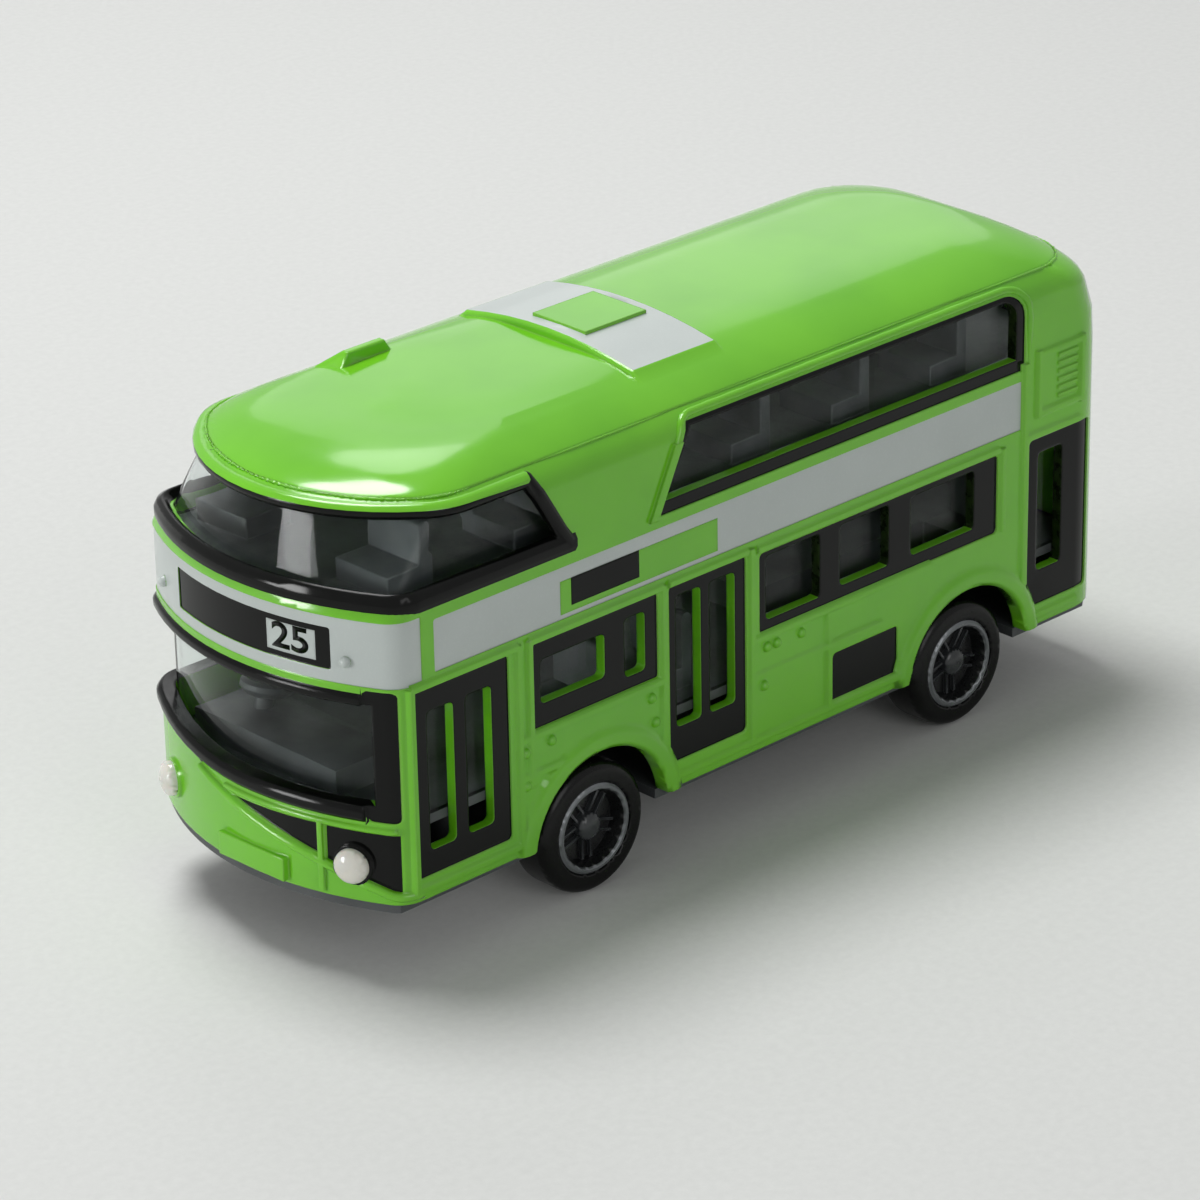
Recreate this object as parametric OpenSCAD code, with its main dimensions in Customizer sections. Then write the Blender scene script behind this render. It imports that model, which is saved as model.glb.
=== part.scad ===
// Toy double-deck bus: a painted cast body on a screwed base, with clear window mouldings, two grey
// deck mouldings, four rubber-tyred wheels and a pull-back motor on the rear axle.
// Frame: +X to the front, +Y to the side with the doors, +Z up, origin on the ground under the middle.

/* [Body] */
// Length of the body
body_l = 122.6; // [102:0.2:148]
// Width between the outer faces of the side walls
body_w = 42; // [38:0.5:50.5]
// Height of the body's lower edge above the ground
sill_z = 9.4; // [8.8:0.1:10.4]
// Height of the lower deck, from the lower edge to the belt
lower_h = 34.2; // [30:0.2:41.2]
// Height of the upper deck, from the belt to the eaves
upper_h = 10.4; // [9:0.1:13]
// Thickness of the cast walls
wall = 1.6; // [1.2:0.1:2]
// How far the bowed front stands ahead of its corners
nose_bow = 6; // [3:0.1:9]
// Plan radius of the front corners
front_corner_r = 3.6; // [3:0.1:5]
// Plan radius of the rear corners
rear_corner_r = 6; // [4:0.1:8]
// How far the upper windscreen leans back at the eaves
front_lean = 3; // [1:0.1:6]
// How far the bowed front stands ahead of its corners at the eaves
eave_bow = 13; // [6:0.1:16]
// Plan radius of the front corners at the eaves
eave_corner_r = 8; // [4:0.1:9]

/* [Roof] */
// Rise of the roof from the eaves to the crown
roof_rise = 4.9; // [4:0.1:7]
// Width of the rounded shoulder on each side
shoulder_w = 15; // [10:0.5:16]
// Length of the domed front slope
dome_l = 30; // [20:1:36]
// Length of the rounded tail
tail_l = 13.5; // [8:0.5:18]
// Length of the raised hump
hump_l = 13.8; // [8:0.2:16]
// Width of the raised hump
hump_w = 33.2; // [24:0.2:35]
// Height of the hump above the crown
hump_h = 1.1; // [0.5:0.1:2]
// Length of the hatch outline on the hump
hatch_l = 9.6; // [4:0.2:11]
// Width of the hatch outline on the hump
hatch_w = 8.8; // [4:0.2:14]

/* [Relief] */
// Depth of the printed panels below the wall
print_d = 0.25; // [0.15:0.05:0.4]
// Depth of the pale band below the wall
band_d = 0.12; // [0.08:0.02:0.2]
// Width of a raised bead at its foot
bead_w = 1.2; // [0.8:0.1:1.6]
// Height of a raised bead
bead_h = 0.45; // [0.3:0.05:0.6]
// Radius of a rivet head
rivet_r = 0.65; // [0.4:0.05:0.9]
// Half the height of the thick bead round the belt
belt_bead_r = 1.4; // [0.8:0.1:1.8]
// Half the depth of the thick bead round the belt
belt_bead_d = 1; // [0.6:0.1:1.4]
// Radius of the other rounded rims
rim_bead_r = 0.95; // [0.5:0.05:1.3]

/* [Wheels] */
// Distance between the axles
wheelbase = 61.4; // [56:0.2:70]
// Distance from the front of the body to the front axle
front_overhang = 35.3; // [31:0.1:40]
// Outer diameter of a tyre
tyre_d = 16; // [14:0.1:17]
// Width of a tyre
tyre_w = 6; // [5:0.1:6.4]
// Outer diameter of a hub
hub_d = 11; // [9.6:0.1:11.6]
// Diameter of an axle
axle_d = 2; // [1.6:0.1:2.4]
// Depth of the wheels' outer faces inside the wall
wheel_inset = 0.9; // [0.6:0.1:2]
// Radius of a wheel arch
arch_r = 10.4; // [9.4:0.1:11]
// Width of an arch's raised lip
flare_w = 2.7; // [1.6:0.1:3.2]
// Height of an arch's raised lip
flare_h = 0.7; // [0.4:0.1:1]

/* [Base] */
// Thickness of the base plate
base_t = 1.2; // [1:0.1:1.4]
// Radius of a screw shank
screw_r = 0.9; // [0.7:0.05:1.1]

/* [Motor] */
// Module of the gear teeth
gear_m = 0.5; // [0.45:0.01:0.52]
// Teeth on the axle gear
axle_teeth = 10; // [9:1:12]
// Teeth on the idler wheel
idler_teeth = 22; // [20:1:24]
// Teeth on the idler pinion
pinion_teeth = 8; // [8:1:10]
// Teeth on the spring drum
drum_teeth = 24; // [22:1:26]
// Thickness of a gear
gear_t = 1.8; // [1.4:0.1:2]

/* [Fits] */
// Radial clearance of a shaft that turns
run_gap = 0.08; // [0.04:0.01:0.1]
// Clearance of a piece that is pressed or dropped on its seat
seat_gap = 0.03; // [0.01:0.01:0.05]
// Clearance between a moulding and the wall beside it
fit_gap = 0.15; // [0.1:0.05:0.25]

/* [Hidden] */
$fn = 48;

// One overrun for all cuts, and the least radius of a rounded corner
over = 2;
least_r = 0.3;

// Levels
half_l = body_l / 2;
half_w = body_w / 2;
belt_z = sill_z + lower_h;
eave_z = belt_z + upper_h;
eave_t = 1.2;
seam_z = eave_z + eave_t;
crown_z = eave_z + roof_rise;

// Where the rounded stretches start: above the belt, or below the eaves
tail_rise = 1.4;
shoulder_drop = 2;
dome_drop = 0.5;
tail_z = belt_z + tail_rise;
shoulder_z = eave_z - shoulder_drop;
dome_z = eave_z - dome_drop;

// Plan radius of a front that bows by the given depth over the whole width
function bow_r(depth) = (half_w * half_w + depth * depth) / (2 * depth);
nose_r = bow_r(nose_bow);
eave_nose_r = bow_r(eave_bow);

// Wheels and axles
axle_z = tyre_d / 2;
axle_r = axle_d / 2;
front_axle_x = half_l - front_overhang;
rear_axle_x = front_axle_x - wheelbase;
wheel_y = half_w - wheel_inset;
wheel_in_y = wheel_y - tyre_w;
hub_r = hub_d / 2;

// Steps of the round stretches
nose_n = 16;
corner_n = 6;
front_corner_share = 1.1;
rear_corner_share = 0.7;
corner_cap_share = 0.9;

// Places on the sides as shares: x of half the length, z of the lower deck's height
function at_x(share) = share * half_l;
function at_z(share) = sill_z + share * lower_h;
function up_z(share) = belt_z + share * upper_h;

function arc(cx, cy, r, a0, a1, n) =
  [for (i = [0:n]) [cx + r * cos(a0 + (a1 - a0) * i / n), cy + r * sin(a0 + (a1 - a0) * i / n)]];

function head(list) = [for (i = [0:len(list) - 2]) list[i]];
function tail(list) = [for (i = [1:len(list) - 1]) list[i]];

// Plan of the body from its half width, front, rear, bow radius and corner radii, anticlockwise
function outline(hw, fx, rx, bow, fr, rr) =
  let (
    cx = fx - bow,
    fy = hw - fr,
    fcx = cx + sqrt(pow(bow - fr, 2) - fy * fy),
    a = atan2(fy, fcx - cx)
  )
  concat(
    arc(cx, 0, bow, -a, a, nose_n),
    tail(arc(fcx, fy, fr, a, 90, corner_n)),
    arc(rr - rx, hw - rr, rr, 90, 180, corner_n),
    arc(rr - rx, rr - hw, rr, 180, 270, corner_n),
    head(arc(fcx, -fy, fr, 270, 360 - a, corner_n))
  );

// How far a rounded edge has come in at the share t of its rise
function eased(t, reach) = t <= 0 ? 0 : reach * (1 - sqrt(1 - pow(min(t, 1), 2)));
function side_in(z) = eased((z - shoulder_z) / (crown_z - shoulder_z), shoulder_w);
function rear_in(z) = eased((z - tail_z) / (crown_z - tail_z), tail_l);
function front_in(z) = front_lean * lean_share(z) + eased((z - dome_z) / (crown_z - dome_z), dome_l);

// Share of the way from the belt to the eaves, and a size that changes along it
function lean_share(z) = max(0, min(z, eave_z) - belt_z) / (eave_z - belt_z);
function leaned(z, foot, head) = foot + (head - foot) * lean_share(z);

// Plan of the body at a height, moved in by inset
function section(z, inset) =
  let (hw = half_w - side_in(z) - inset)
  outline(
    hw, half_l - front_in(z) - inset, half_l - rear_in(z) - inset, leaned(z, nose_r, eave_nose_r) - inset,
    corner(leaned(z, front_corner_r, eave_corner_r) + front_corner_share * side_in(z) - inset, hw),
    corner(rear_corner_r + rear_corner_share * side_in(z) - inset, hw)
  );

// Corner radius kept between the least one and a share of the half width
function corner(r, hw) = min(max(r, least_r), corner_cap_share * hw);

// Levels of the upper walls from a foot to the eaves
function upper_levels(foot) =
  [foot, (belt_z + shoulder_z) / 2, shoulder_z, (shoulder_z + eave_z) / 2, eave_z];

function lift(points, z) = [for (p = points) [p[0], p[1], z]];

// Front of the plan as a path from x_left on the left wall round to x_right on the right wall
function front_path(z, inset, x_left, x_right) =
  let (s = section(z, inset), last = nose_n + corner_n, n = len(s), hw = half_w - side_in(z) - inset)
  concat(
    [[x_left, hw]],
    [for (i = [last:-1:0]) s[i]],
    [for (i = [n - 1:-1:n - corner_n]) s[i]],
    [[x_right, -hw]]
  );

// Rounded rectangle from opposite corners
function rounded(x0, x1, z0, z1, r) =
  concat(
    arc(x1 - r, z1 - r, r, 0, 90, 3), arc(x0 + r, z1 - r, r, 90, 180, 3),
    arc(x0 + r, z0 + r, r, 180, 270, 3), arc(x1 - r, z0 + r, r, 270, 360, 3)
  );

// Faces of a wall of quads between rings of n points, first ring at index a and second at b
function strip(a, b, n) =
  [for (i = [0:n - 1]) each let (j = (i + 1) % n) [[a + i, b + i, b + j], [a + i, b + j, a + j]]];

// Closed ring between two insets of the body's plan, through the given levels
module ring_loft(levels, outer, inner) {
  n = len(section(levels[0], outer));
  m = len(levels);
  points = concat(
    [for (z = levels) each lift(section(z, outer), z)],
    [for (z = levels) each lift(section(z, inner), z)]
  );
  faces = concat(
    [for (k = [0:m - 2]) each strip(k * n, (k + 1) * n, n)],
    [for (k = [0:m - 2]) each strip((m + k + 1) * n, (m + k) * n, n)],
    strip(m * n, 0, n),
    strip((m - 1) * n, (2 * m - 1) * n, n)
  );
  polyhedron(points, faces);
}

// Round bar swept along plan points p at the heights z, half as deep as deep, with its ends closed
module sweep(p, z, r, deep, sides = 10) {
  m = len(p);
  points = [
    for (k = [0:m - 1]) each
      let (
        t = p[min(k + 1, m - 1)] - p[max(k - 1, 0)],
        out = [-t[1], t[0]] / norm(t)
      )
      [for (i = [0:sides - 1])
        let (a = 360 * (i + 0.5) / sides)
        [p[k][0] + deep * cos(a) * out[0], p[k][1] + deep * cos(a) * out[1], z[k] + r * sin(a)]]
  ];
  faces = concat(
    [for (k = [0:m - 2]) each strip(k * sides, (k + 1) * sides, sides)],
    [[for (i = [0:sides - 1]) i]],
    [[for (i = [sides - 1:-1:0]) (m - 1) * sides + i]]
  );
  polyhedron(points, faces);
}

function level(p, z) = [for (q = p) z];

// Outline in X and Z, extruded through one side from y_in to y_out
module across(points, side, y_in, y_out) {
  translate([0, side > 0 ? y_out : -y_in, 0])
    rotate([90, 0, 0])
      linear_extrude(y_out - y_in)
        polygon(points);
}

// Outline in Y and Z, extruded along X
module ahead(points, x0, x1) {
  translate([x0, 0, 0])
    rotate([90, 0, 90])
      linear_extrude(x1 - x0)
        polygon(points);
}

// Rod along Y
module rod(r, y0, y1) {
  translate([0, y1, 0])
    rotate([90, 0, 0])
      cylinder(r = r, h = y1 - y0);
}

// Openings and printed panels, each row [x0, x1, z0, z1]
left_opening_shares = [
  [0.777, 0.840, 0.161, 0.655], [0.685, 0.747, 0.161, 0.655],
  [0.403, 0.564, 0.512, 0.670], [0.300, 0.352, 0.477, 0.690],
  [0.155, 0.220, 0.213, 0.696], [0.065, 0.132, 0.213, 0.696],
  [-0.165, -0.018, 0.468, 0.705], [-0.356, -0.220, 0.477, 0.705], [-0.599, -0.418, 0.477, 0.699],
  [-0.858, -0.786, 0.208, 0.664]
];
left_panel_shares = [
  [0.644, 0.874, 0.076, 0.740], [0.269, 0.584, 0.427, 0.743], [0.038, 0.241, 0.091, 0.743],
  [-0.664, 0.003, 0.427, 0.725], [-0.940, -0.755, 0.076, 0.725], [-0.380, -0.196, 0.032, 0.237]
];
right_opening_shares = [
  [0.420, 0.580, 0.477, 0.705], [0.220, 0.380, 0.477, 0.705], [0.020, 0.180, 0.477, 0.705],
  [-0.180, -0.020, 0.477, 0.705], [-0.380, -0.220, 0.477, 0.705], [-0.600, -0.420, 0.477, 0.705],
  [-0.858, -0.786, 0.208, 0.664]
];
right_panel_shares = [[-0.664, 0.640, 0.427, 0.743], [-0.940, -0.755, 0.076, 0.725]];
band_shares = [[-0.736, 0.820, 0.784, 0.968]];

// Raised beads, each row [x0, x1, z] along X or [x, z0, z1] up the wall
left_bead_x_shares = [
  [-0.46, 0.260, 0.041], [0.630, 0.880, 0.041], [-0.470, 0.026, 0.415], [0.258, 0.623, 0.415],
  [-0.330, 0.026, 0.278], [0.520, 0.623, 0.278], [-0.900, -0.739, 0.041], [-0.900, -0.739, 0.745],
  [0.036, 0.243, 0.755], [0.258, 0.595, 0.755], [-0.664, 0.010, 0.745], [0.623, 0.880, 0.755]
];
left_bead_z_shares = [
  [0.880, 0.030, 0.760], [0.623, 0.041, 0.760], [0.595, 0.235, 0.760], [0.258, 0.041, 0.760],
  [0.026, 0.041, 0.760], [-0.183, 0.030, 0.405], [-0.675, 0.430, 0.745], [-0.739, 0.041, 1.03]
];
right_bead_x_shares = [
  [-0.42, 0.250, 0.041], [0.630, 0.880, 0.041], [-0.664, 0.640, 0.415], [-0.330, 0.240, 0.278],
  [-0.900, -0.739, 0.041], [-0.900, -0.739, 0.745], [-0.664, 0.640, 0.755]
];
right_bead_z_shares = [
  [0.640, 0.041, 0.760], [0.240, 0.041, 0.415], [-0.050, 0.041, 0.415], [-0.675, 0.430, 0.745],
  [-0.739, 0.041, 1.03]
];
rivet_shares = [
  [0.609, 0.365], [0.545, 0.374], [0.290, 0.368], [0.609, 0.246], [0.281, 0.275],
  [-0.015, 0.374], [-0.041, 0.374], [-0.108, 0.371], [-0.007, 0.234]
];
window_r = 0.6;

// Vent at the top of the rear corner: frame beads, then slats in [x0, x1, z0, z1]
vent_frame_x_shares = [[-0.912, -0.778, 0.822], [-0.912, -0.778, 1.045]];
vent_frame_z_shares = [[-0.778, 0.806, 1.06], [-0.905, 0.806, 1.06]];
vent_slat_shares = [-0.893, -0.835, 0.845, 1.028];
vent_n = 6;
slat_r = 0.15;
flare_shares = [[1, 0], [0.75, 0.8], [0.5, 1], [0.2, 1], [0, 0.6]];

// Upper deck windows: foot and head of the slanted ends along X
long_window_front_shares = [0.243, 0.173];
long_window_rear_share = -0.716;
long_window_z_shares = [0.173, 0.923];
long_panel_front_shares = [0.266, 0.183];
long_panel_rear_share = -0.739;
long_panel_z_shares = [0.02, 0.990];
windscreen_rear_shares = [0.473, 0.576];
long_corner_r = 3.4;
windscreen_foot_h = 1.9;
windscreen_foot_z = belt_z + windscreen_foot_h;
long_reveal_r = 2.4;

// Lower windscreen: its left edge, head, and a foot that sweeps up to the right
screen_column_w = 3.2;
screen_left_y = half_w - screen_column_w;
screen_head_share = 0.703;
screen_foot_share = 0.318;
screen_head_z = at_z(screen_head_share);
screen_foot_z = at_z(screen_foot_share);
screen_rise = 2.6;
screen_turn_y = 2;
screen_wrap_share = 0.65;
function swept(y) =
  screen_foot_z + screen_rise * pow(max(0, (screen_turn_y - y) / (screen_turn_y + half_w)), 2);

// Front relief in Y and Z: lamps, lamp panel, wedge panel, ridge, plate block and sign panel
lamp_y = 15.4;
lamp_z_share = 0.129;
lamp_z = at_z(lamp_z_share);
lamp_r = 2.05;
lamp_stem_r = 1.1;
lamp_boss_r = 2.4;
lamp_boss_h = 0.3;
lamp_split_share = 0.557;
lamp_split_y = lamp_split_share * half_w;
ridge_y_shares = [-0.41, 0.17, 0.56, 0.95];
ridge_z_shares = [0.284, 0.181, 0.117, 0.030];
block_y_shares = [-0.16, 0.34];
block_z_shares = [0.012, 0.094];
block_h = 0.45;
sign_y_shares = [-0.52, 0.65];
sign_z_shares = [0.807, 0.953];
front_band_z_shares = [0.766, 0.994];
front_rivet_share = 0.845;
front_rivet_z = at_z(front_rivet_share);
nose_depth = 12;
front_band_x_share = 0.850;
wedge_shares = [[-0.07, 0.243], [0.535, 0.140], [0.535, 0.250]];
lamp_panel_shares = [[0.580, 0.110], [0.965, 0.038], [0.965, 0.250], [0.580, 0.250]];
pillar_y_shares = [0.81, 0.97];
pillar_z_shares = [0.290, 0.755];
brow_y_shares = [-0.15, 0.96];
brow_z_share = 0.264;

// Rear face: window, panel and louvre rows [y0, y1, z0, z1], lamps and bumper
rear_window_shares = [-0.50, 0.50, 0.50, 0.705];
rear_panel_shares = [-0.60, 0.60, 0.44, 0.745];
rear_upper_shares = [-0.46, 0.46, 0.22, 0.74];
rear_upper_panel_shares = [-0.56, 0.56, 0.10, 0.84];
louvre_shares = [-0.36, 0.36, 0.13, 0.36];
louvre_n = 6;
tail_lamp_y_share = 0.57;
tail_lamp_z_shares = [0.15, 0.245, 0.34];
tail_lamp_r = 1.2;
bumper_z_share = 0.055;
rear_depth = 8;

// Lower edge of the ridge line at a place across the front
function ridge_z(y) = at_z(lookup(y / half_w, [for (i = [0:3]) [ridge_y_shares[i], ridge_z_shares[i]]]));

// Screws: places along X on the middle line, and bosses of the body and the base
screw_in = 6.4;
screw_x = [half_l - screw_in, screw_in - half_l];
boss_r = 2.4;
boss_rise = 1.4;
boss_h = 5.6;
boss_cap = 1;
boss_z = sill_z + boss_rise;
boss_top = boss_z + boss_h;
screw_head_r = 1.9;
screw_head_t = 1.3;

// Stack of mouldings inside the body
pane_t = 0.9;
floor_t = 1.2;
tyre_room = 1.2;
boss_room = 0.8;
floor_z = max(tyre_d + tyre_room, boss_top + boss_room);
floor_top = floor_z + floor_t;
deck_drop = 1;
deck_z = belt_z - deck_drop;
deck_top = deck_z + floor_t;
pane_in = wall + fit_gap;
base_z = sill_z - base_t;

// Motor: gear centres from the rear axle, layers along Y and the case round them
idler_lift = 26;
drum_lift = 9;
function gear_r(teeth) = gear_m * teeth / 2;
idler_dist = gear_r(axle_teeth) + gear_r(idler_teeth);
drum_dist = gear_r(pinion_teeth) + gear_r(drum_teeth);
axle_at = [rear_axle_x, axle_z];
idler_at = axle_at + idler_dist * [cos(idler_lift), sin(idler_lift)];
drum_at = idler_at + drum_dist * [cos(drum_lift), sin(drum_lift)];
motor_gap = 0.5;
motor_wall = 1;
drum_h = 3.6;
wheel_y0 = -gear_t - motor_gap / 2;
pinion_y0 = motor_gap / 2;
drum_y0 = pinion_y0 + gear_t;
case_y0 = wheel_y0 - motor_gap - motor_wall;
case_y1 = drum_y0 + drum_h + motor_gap + motor_wall;
case_split_y = 0;
gear_pin_r = 0.7;
tip_share = 0.8;
root_share = 1.1;
tooth_shares = [[-root_share, 0.27], [0, 0.21], [tip_share, 0.11]];
case_gap = tip_share * gear_m + motor_gap;

// Body shell
module side_wall_cut(rows, side) {
  for (row = rows)
    across(
      rounded(at_x(row[0]), at_x(row[1]), at_z(row[2]), at_z(row[3]), window_r),
      side, half_w - wall - over, half_w + over
    );
}

// Layer of the wall's outer face, down to a depth, in the straight part of the body
module outer_layer(depth) {
  translate([0, 0, sill_z - over])
    linear_extrude(lower_h + over)
      difference() {
        polygon(section(sill_z, -over));
        polygon(section(sill_z, depth));
      }
}

module bead_x(row, side) {
  profile = [
    [half_w - wall / 2, at_z(row[2]) - bead_w / 2], [half_w, at_z(row[2]) - bead_w / 2],
    [half_w + bead_h, at_z(row[2]) - bead_w / 4], [half_w + bead_h, at_z(row[2]) + bead_w / 4],
    [half_w, at_z(row[2]) + bead_w / 2], [half_w - wall / 2, at_z(row[2]) + bead_w / 2]
  ];
  mirror([0, side > 0 ? 0 : 1, 0])
    ahead(profile, at_x(row[0]), at_x(row[1]));
}

module bead_z(row, side) {
  x = at_x(row[0]);
  profile = [
    [x - bead_w / 2, half_w - wall / 2], [x + bead_w / 2, half_w - wall / 2], [x + bead_w / 2, half_w],
    [x + bead_w / 4, half_w + bead_h], [x - bead_w / 4, half_w + bead_h], [x - bead_w / 2, half_w]
  ];
  mirror([0, side > 0 ? 0 : 1, 0])
    translate([0, 0, at_z(row[1])])
      linear_extrude(at_z(row[2]) - at_z(row[1]))
        polygon(profile);
}

module flare(x, side) {
  profile = [
    [arch_r, -wall / 2], [arch_r + flare_w, -wall / 2],
    each [for (share = flare_shares) [arch_r + flare_w * share[0], flare_h * share[1]]]
  ];
  intersection() {
    translate([x, side * half_w, axle_z])
      rotate([-90 * side, 0, 0])
        rotate_extrude()
          polygon(profile);
    translate([x - half_l, -half_l, sill_z])
      cube([body_l, body_l, lower_h]);
  }
}

// Slanted front edge, rounded rear head
function long_outline(fronts, rear, zs, r) =
  concat(
    [[at_x(fronts[0]), up_z(zs[0])], [at_x(fronts[1]), up_z(zs[1])]],
    arc(at_x(rear) + r, up_z(zs[1]) - r, r, 90, 180, 6),
    [[at_x(rear), up_z(zs[0])]]
  );

windscreen_side = [
  [at_x(windscreen_rear_shares[0]), windscreen_foot_z], [at_x(windscreen_rear_shares[1]), eave_z],
  [half_l + over, eave_z], [half_l + over, windscreen_foot_z]
];

screen_steps = 14;
screen_front = concat(
  [for (i = [0:screen_steps])
    let (y = screen_left_y - (screen_left_y + half_w + over) * i / screen_steps)
    [y, swept(y) + rim_bead_r]],
  [[-half_w - over, screen_head_z], [screen_left_y, screen_head_z]]
);

// Rounded frames on the rear face, in the lower and in the upper deck
function rear_frame(row) =
  rounded(row[0] * half_w, row[1] * half_w, at_z(row[2]), at_z(row[3]), window_r);
function rear_frame_up(row) =
  rounded(row[0] * half_w, row[1] * half_w, up_z(row[2]), up_z(row[3]), window_r);

// Outline in shares of the half width and of the lower deck's height
function face(shares) = [for (share = shares) [share[0] * half_w, at_z(share[1])]];

module print_pockets() {
  intersection() {
    outer_layer(print_d);
    union() {
      for (row = left_panel_shares)
        across(
          rounded(at_x(row[0]), at_x(row[1]), at_z(row[2]), at_z(row[3]), window_r),
          1, half_w - rear_corner_r, half_w + over
        );
      for (row = right_panel_shares)
        across(
          rounded(at_x(row[0]), at_x(row[1]), at_z(row[2]), at_z(row[3]), window_r),
          -1, half_w - rear_corner_r, half_w + over
        );
      for (shares = [wedge_shares, lamp_panel_shares])
        ahead(face(shares), half_l - nose_depth, half_l + over);
      ahead(
        rounded(
          pillar_y_shares[0] * half_w, pillar_y_shares[1] * half_w,
          at_z(pillar_z_shares[0]), at_z(pillar_z_shares[1]), window_r
        ),
        half_l - nose_depth, half_l + over
      );
      ahead(rear_frame(rear_panel_shares), -half_l - over, rear_depth - half_l);
    }
  }
  levels = concat(upper_levels(belt_z), [seam_z]);
  for (side = [1, -1])
    intersection() {
      across(
        long_outline(long_panel_front_shares, long_panel_rear_share, long_panel_z_shares, long_corner_r),
        side, half_w - rear_corner_r, half_w + over
      );
      mirror([0, side > 0 ? 0 : 1, 0])
        ahead(
          concat(
            [for (z = levels) [half_w - side_in(z) - print_d, z]],
            [[half_w + 2 * over, seam_z], [half_w + 2 * over, belt_z]]
          ),
          at_x(long_panel_rear_share) - over, at_x(long_panel_front_shares[0]) + over
        );
    }
  intersection() {
    ahead(rear_frame_up(rear_upper_panel_shares), -half_l - over, rear_depth - half_l);
    across(
      concat(
        [for (z = levels) [rear_in(z) + print_d - half_l, z]],
        [[-half_l - 2 * over, seam_z], [-half_l - 2 * over, belt_z]]
      ),
      1, -half_w, half_w
    );
  }
}

module band_pockets() {
  intersection() {
    outer_layer(band_d);
    union() {
      for (row = band_shares)
        for (side = [1, -1])
          across(
            rounded(at_x(row[0]), at_x(row[1]), at_z(row[2]), at_z(row[3]), least_r),
            side, half_w - wall, half_w + over
          );
      translate([at_x(front_band_x_share), -half_w - over, at_z(front_band_z_shares[0])])
        cube([nose_depth, body_w + 2 * over, at_z(front_band_z_shares[1]) - at_z(front_band_z_shares[0])]);
    }
  }
  intersection() {
    outer_layer(print_d);
    ahead(
      rounded(
        sign_y_shares[0] * half_w, sign_y_shares[1] * half_w,
        at_z(sign_z_shares[0]), at_z(sign_z_shares[1]), least_r
      ),
      half_l - nose_depth, half_l + over
    );
  }
}

// Place on the bowed front at y, with X along the outward normal
module on_nose(y, z) {
  a = asin(y / nose_r);
  translate([half_l - nose_r + nose_r * cos(a), y, z])
    rotate([0, 0, a])
      children();
}

module screw_boss(x) {
  toward = x > 0 ? 1 : -1;
  translate([x, 0, boss_z])
    cylinder(r = boss_r, h = boss_h);
  translate([toward > 0 ? x : -half_l + wall / 2, -boss_r / 2, boss_z])
    cube([abs(half_l - abs(x)) - wall / 2, boss_r, boss_h]);
}

// Slats between two heights, each half as thick as the pitch
function slat_z(z0, z1, n, i) = z0 + (z1 - z0) * i / n;

module vent(side) {
  for (row = vent_frame_x_shares)
    bead_x(row, side);
  for (row = vent_frame_z_shares)
    bead_z(row, side);
  for (i = [1:vent_n])
    across(
      rounded(
        at_x(vent_slat_shares[0]), at_x(vent_slat_shares[1]),
        slat_z(at_z(vent_slat_shares[2]), at_z(vent_slat_shares[3]), 2 * vent_n, 2 * i - 1.5),
        slat_z(at_z(vent_slat_shares[2]), at_z(vent_slat_shares[3]), 2 * vent_n, 2 * i - 0.5), slat_r
      ),
      side, half_w - wall / 2, half_w + bead_h / 2
    );
}

// Cast shapes of the rear face: louvres, bumper bead and lamps
module rear_relief() {
  for (i = [1:louvre_n])
    ahead(
      rounded(
        louvre_shares[0] * half_w, louvre_shares[1] * half_w,
        slat_z(at_z(louvre_shares[2]), at_z(louvre_shares[3]), 2 * louvre_n, 2 * i - 1.5),
        slat_z(at_z(louvre_shares[2]), at_z(louvre_shares[3]), 2 * louvre_n, 2 * i - 0.5), slat_r
      ),
      -half_l - bead_h, wall / 2 - half_l
    );
  ahead(
    rounded(
      rear_corner_r - half_w, half_w - rear_corner_r,
      at_z(bumper_z_share) - bead_w / 2, at_z(bumper_z_share) + bead_w / 2, least_r
    ),
    -half_l - bead_h, wall / 2 - half_l
  );
  for (side = [1, -1], share = tail_lamp_z_shares)
    translate([-half_l - bead_h, side * tail_lamp_y_share * half_w, at_z(share)])
      rotate([0, 90, 0])
        cylinder(r = tail_lamp_r, h = bead_h + wall / 2);
}

module body_relief() {
  for (row = left_bead_x_shares)
    bead_x(row, 1);
  for (row = left_bead_z_shares)
    bead_z(row, 1);
  for (row = right_bead_x_shares)
    bead_x(row, -1);
  for (row = right_bead_z_shares)
    bead_z(row, -1);
  for (side = [1, -1]) {
    vent(side);
    for (x = [front_axle_x, rear_axle_x])
      flare(x, side);
  }
  for (row = rivet_shares)
    translate([at_x(row[0]), half_w, at_z(row[1])])
      sphere(r = rivet_r);
  for (side = [1, -1])
    on_nose(side * lamp_y, front_rivet_z)
      sphere(r = rivet_r);
  on_nose((block_y_shares[0] + block_y_shares[1]) / 2 * half_w, at_z(block_z_shares[0]))
    translate([-wall / 2, (block_y_shares[0] - block_y_shares[1]) / 2 * half_w, 0])
      cube([
        wall / 2 + block_h, (block_y_shares[1] - block_y_shares[0]) * half_w,
        at_z(block_z_shares[1]) - at_z(block_z_shares[0])
      ]);
  for (side = [1, -1])
    on_nose(side * lamp_y, lamp_z)
      rotate([0, 90, 0])
        translate([0, 0, -wall / 2])
          cylinder(r = lamp_boss_r, h = wall / 2 + lamp_boss_h);
  on_nose(lamp_split_y, at_z(block_z_shares[0]))
    translate([-wall / 2, -bead_w / 4, 0])
      cube([wall / 2 + bead_h, bead_w / 2, at_z(brow_z_share) - at_z(block_z_shares[0])]);
  rear_relief();
}

// Rounded rims and ridges of the front, each sunk into the wall by a share of its radius
rim_sink_share = 0.5;
screen_rim_r = 1.15;
screen_head_drop = 0.5;
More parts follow.
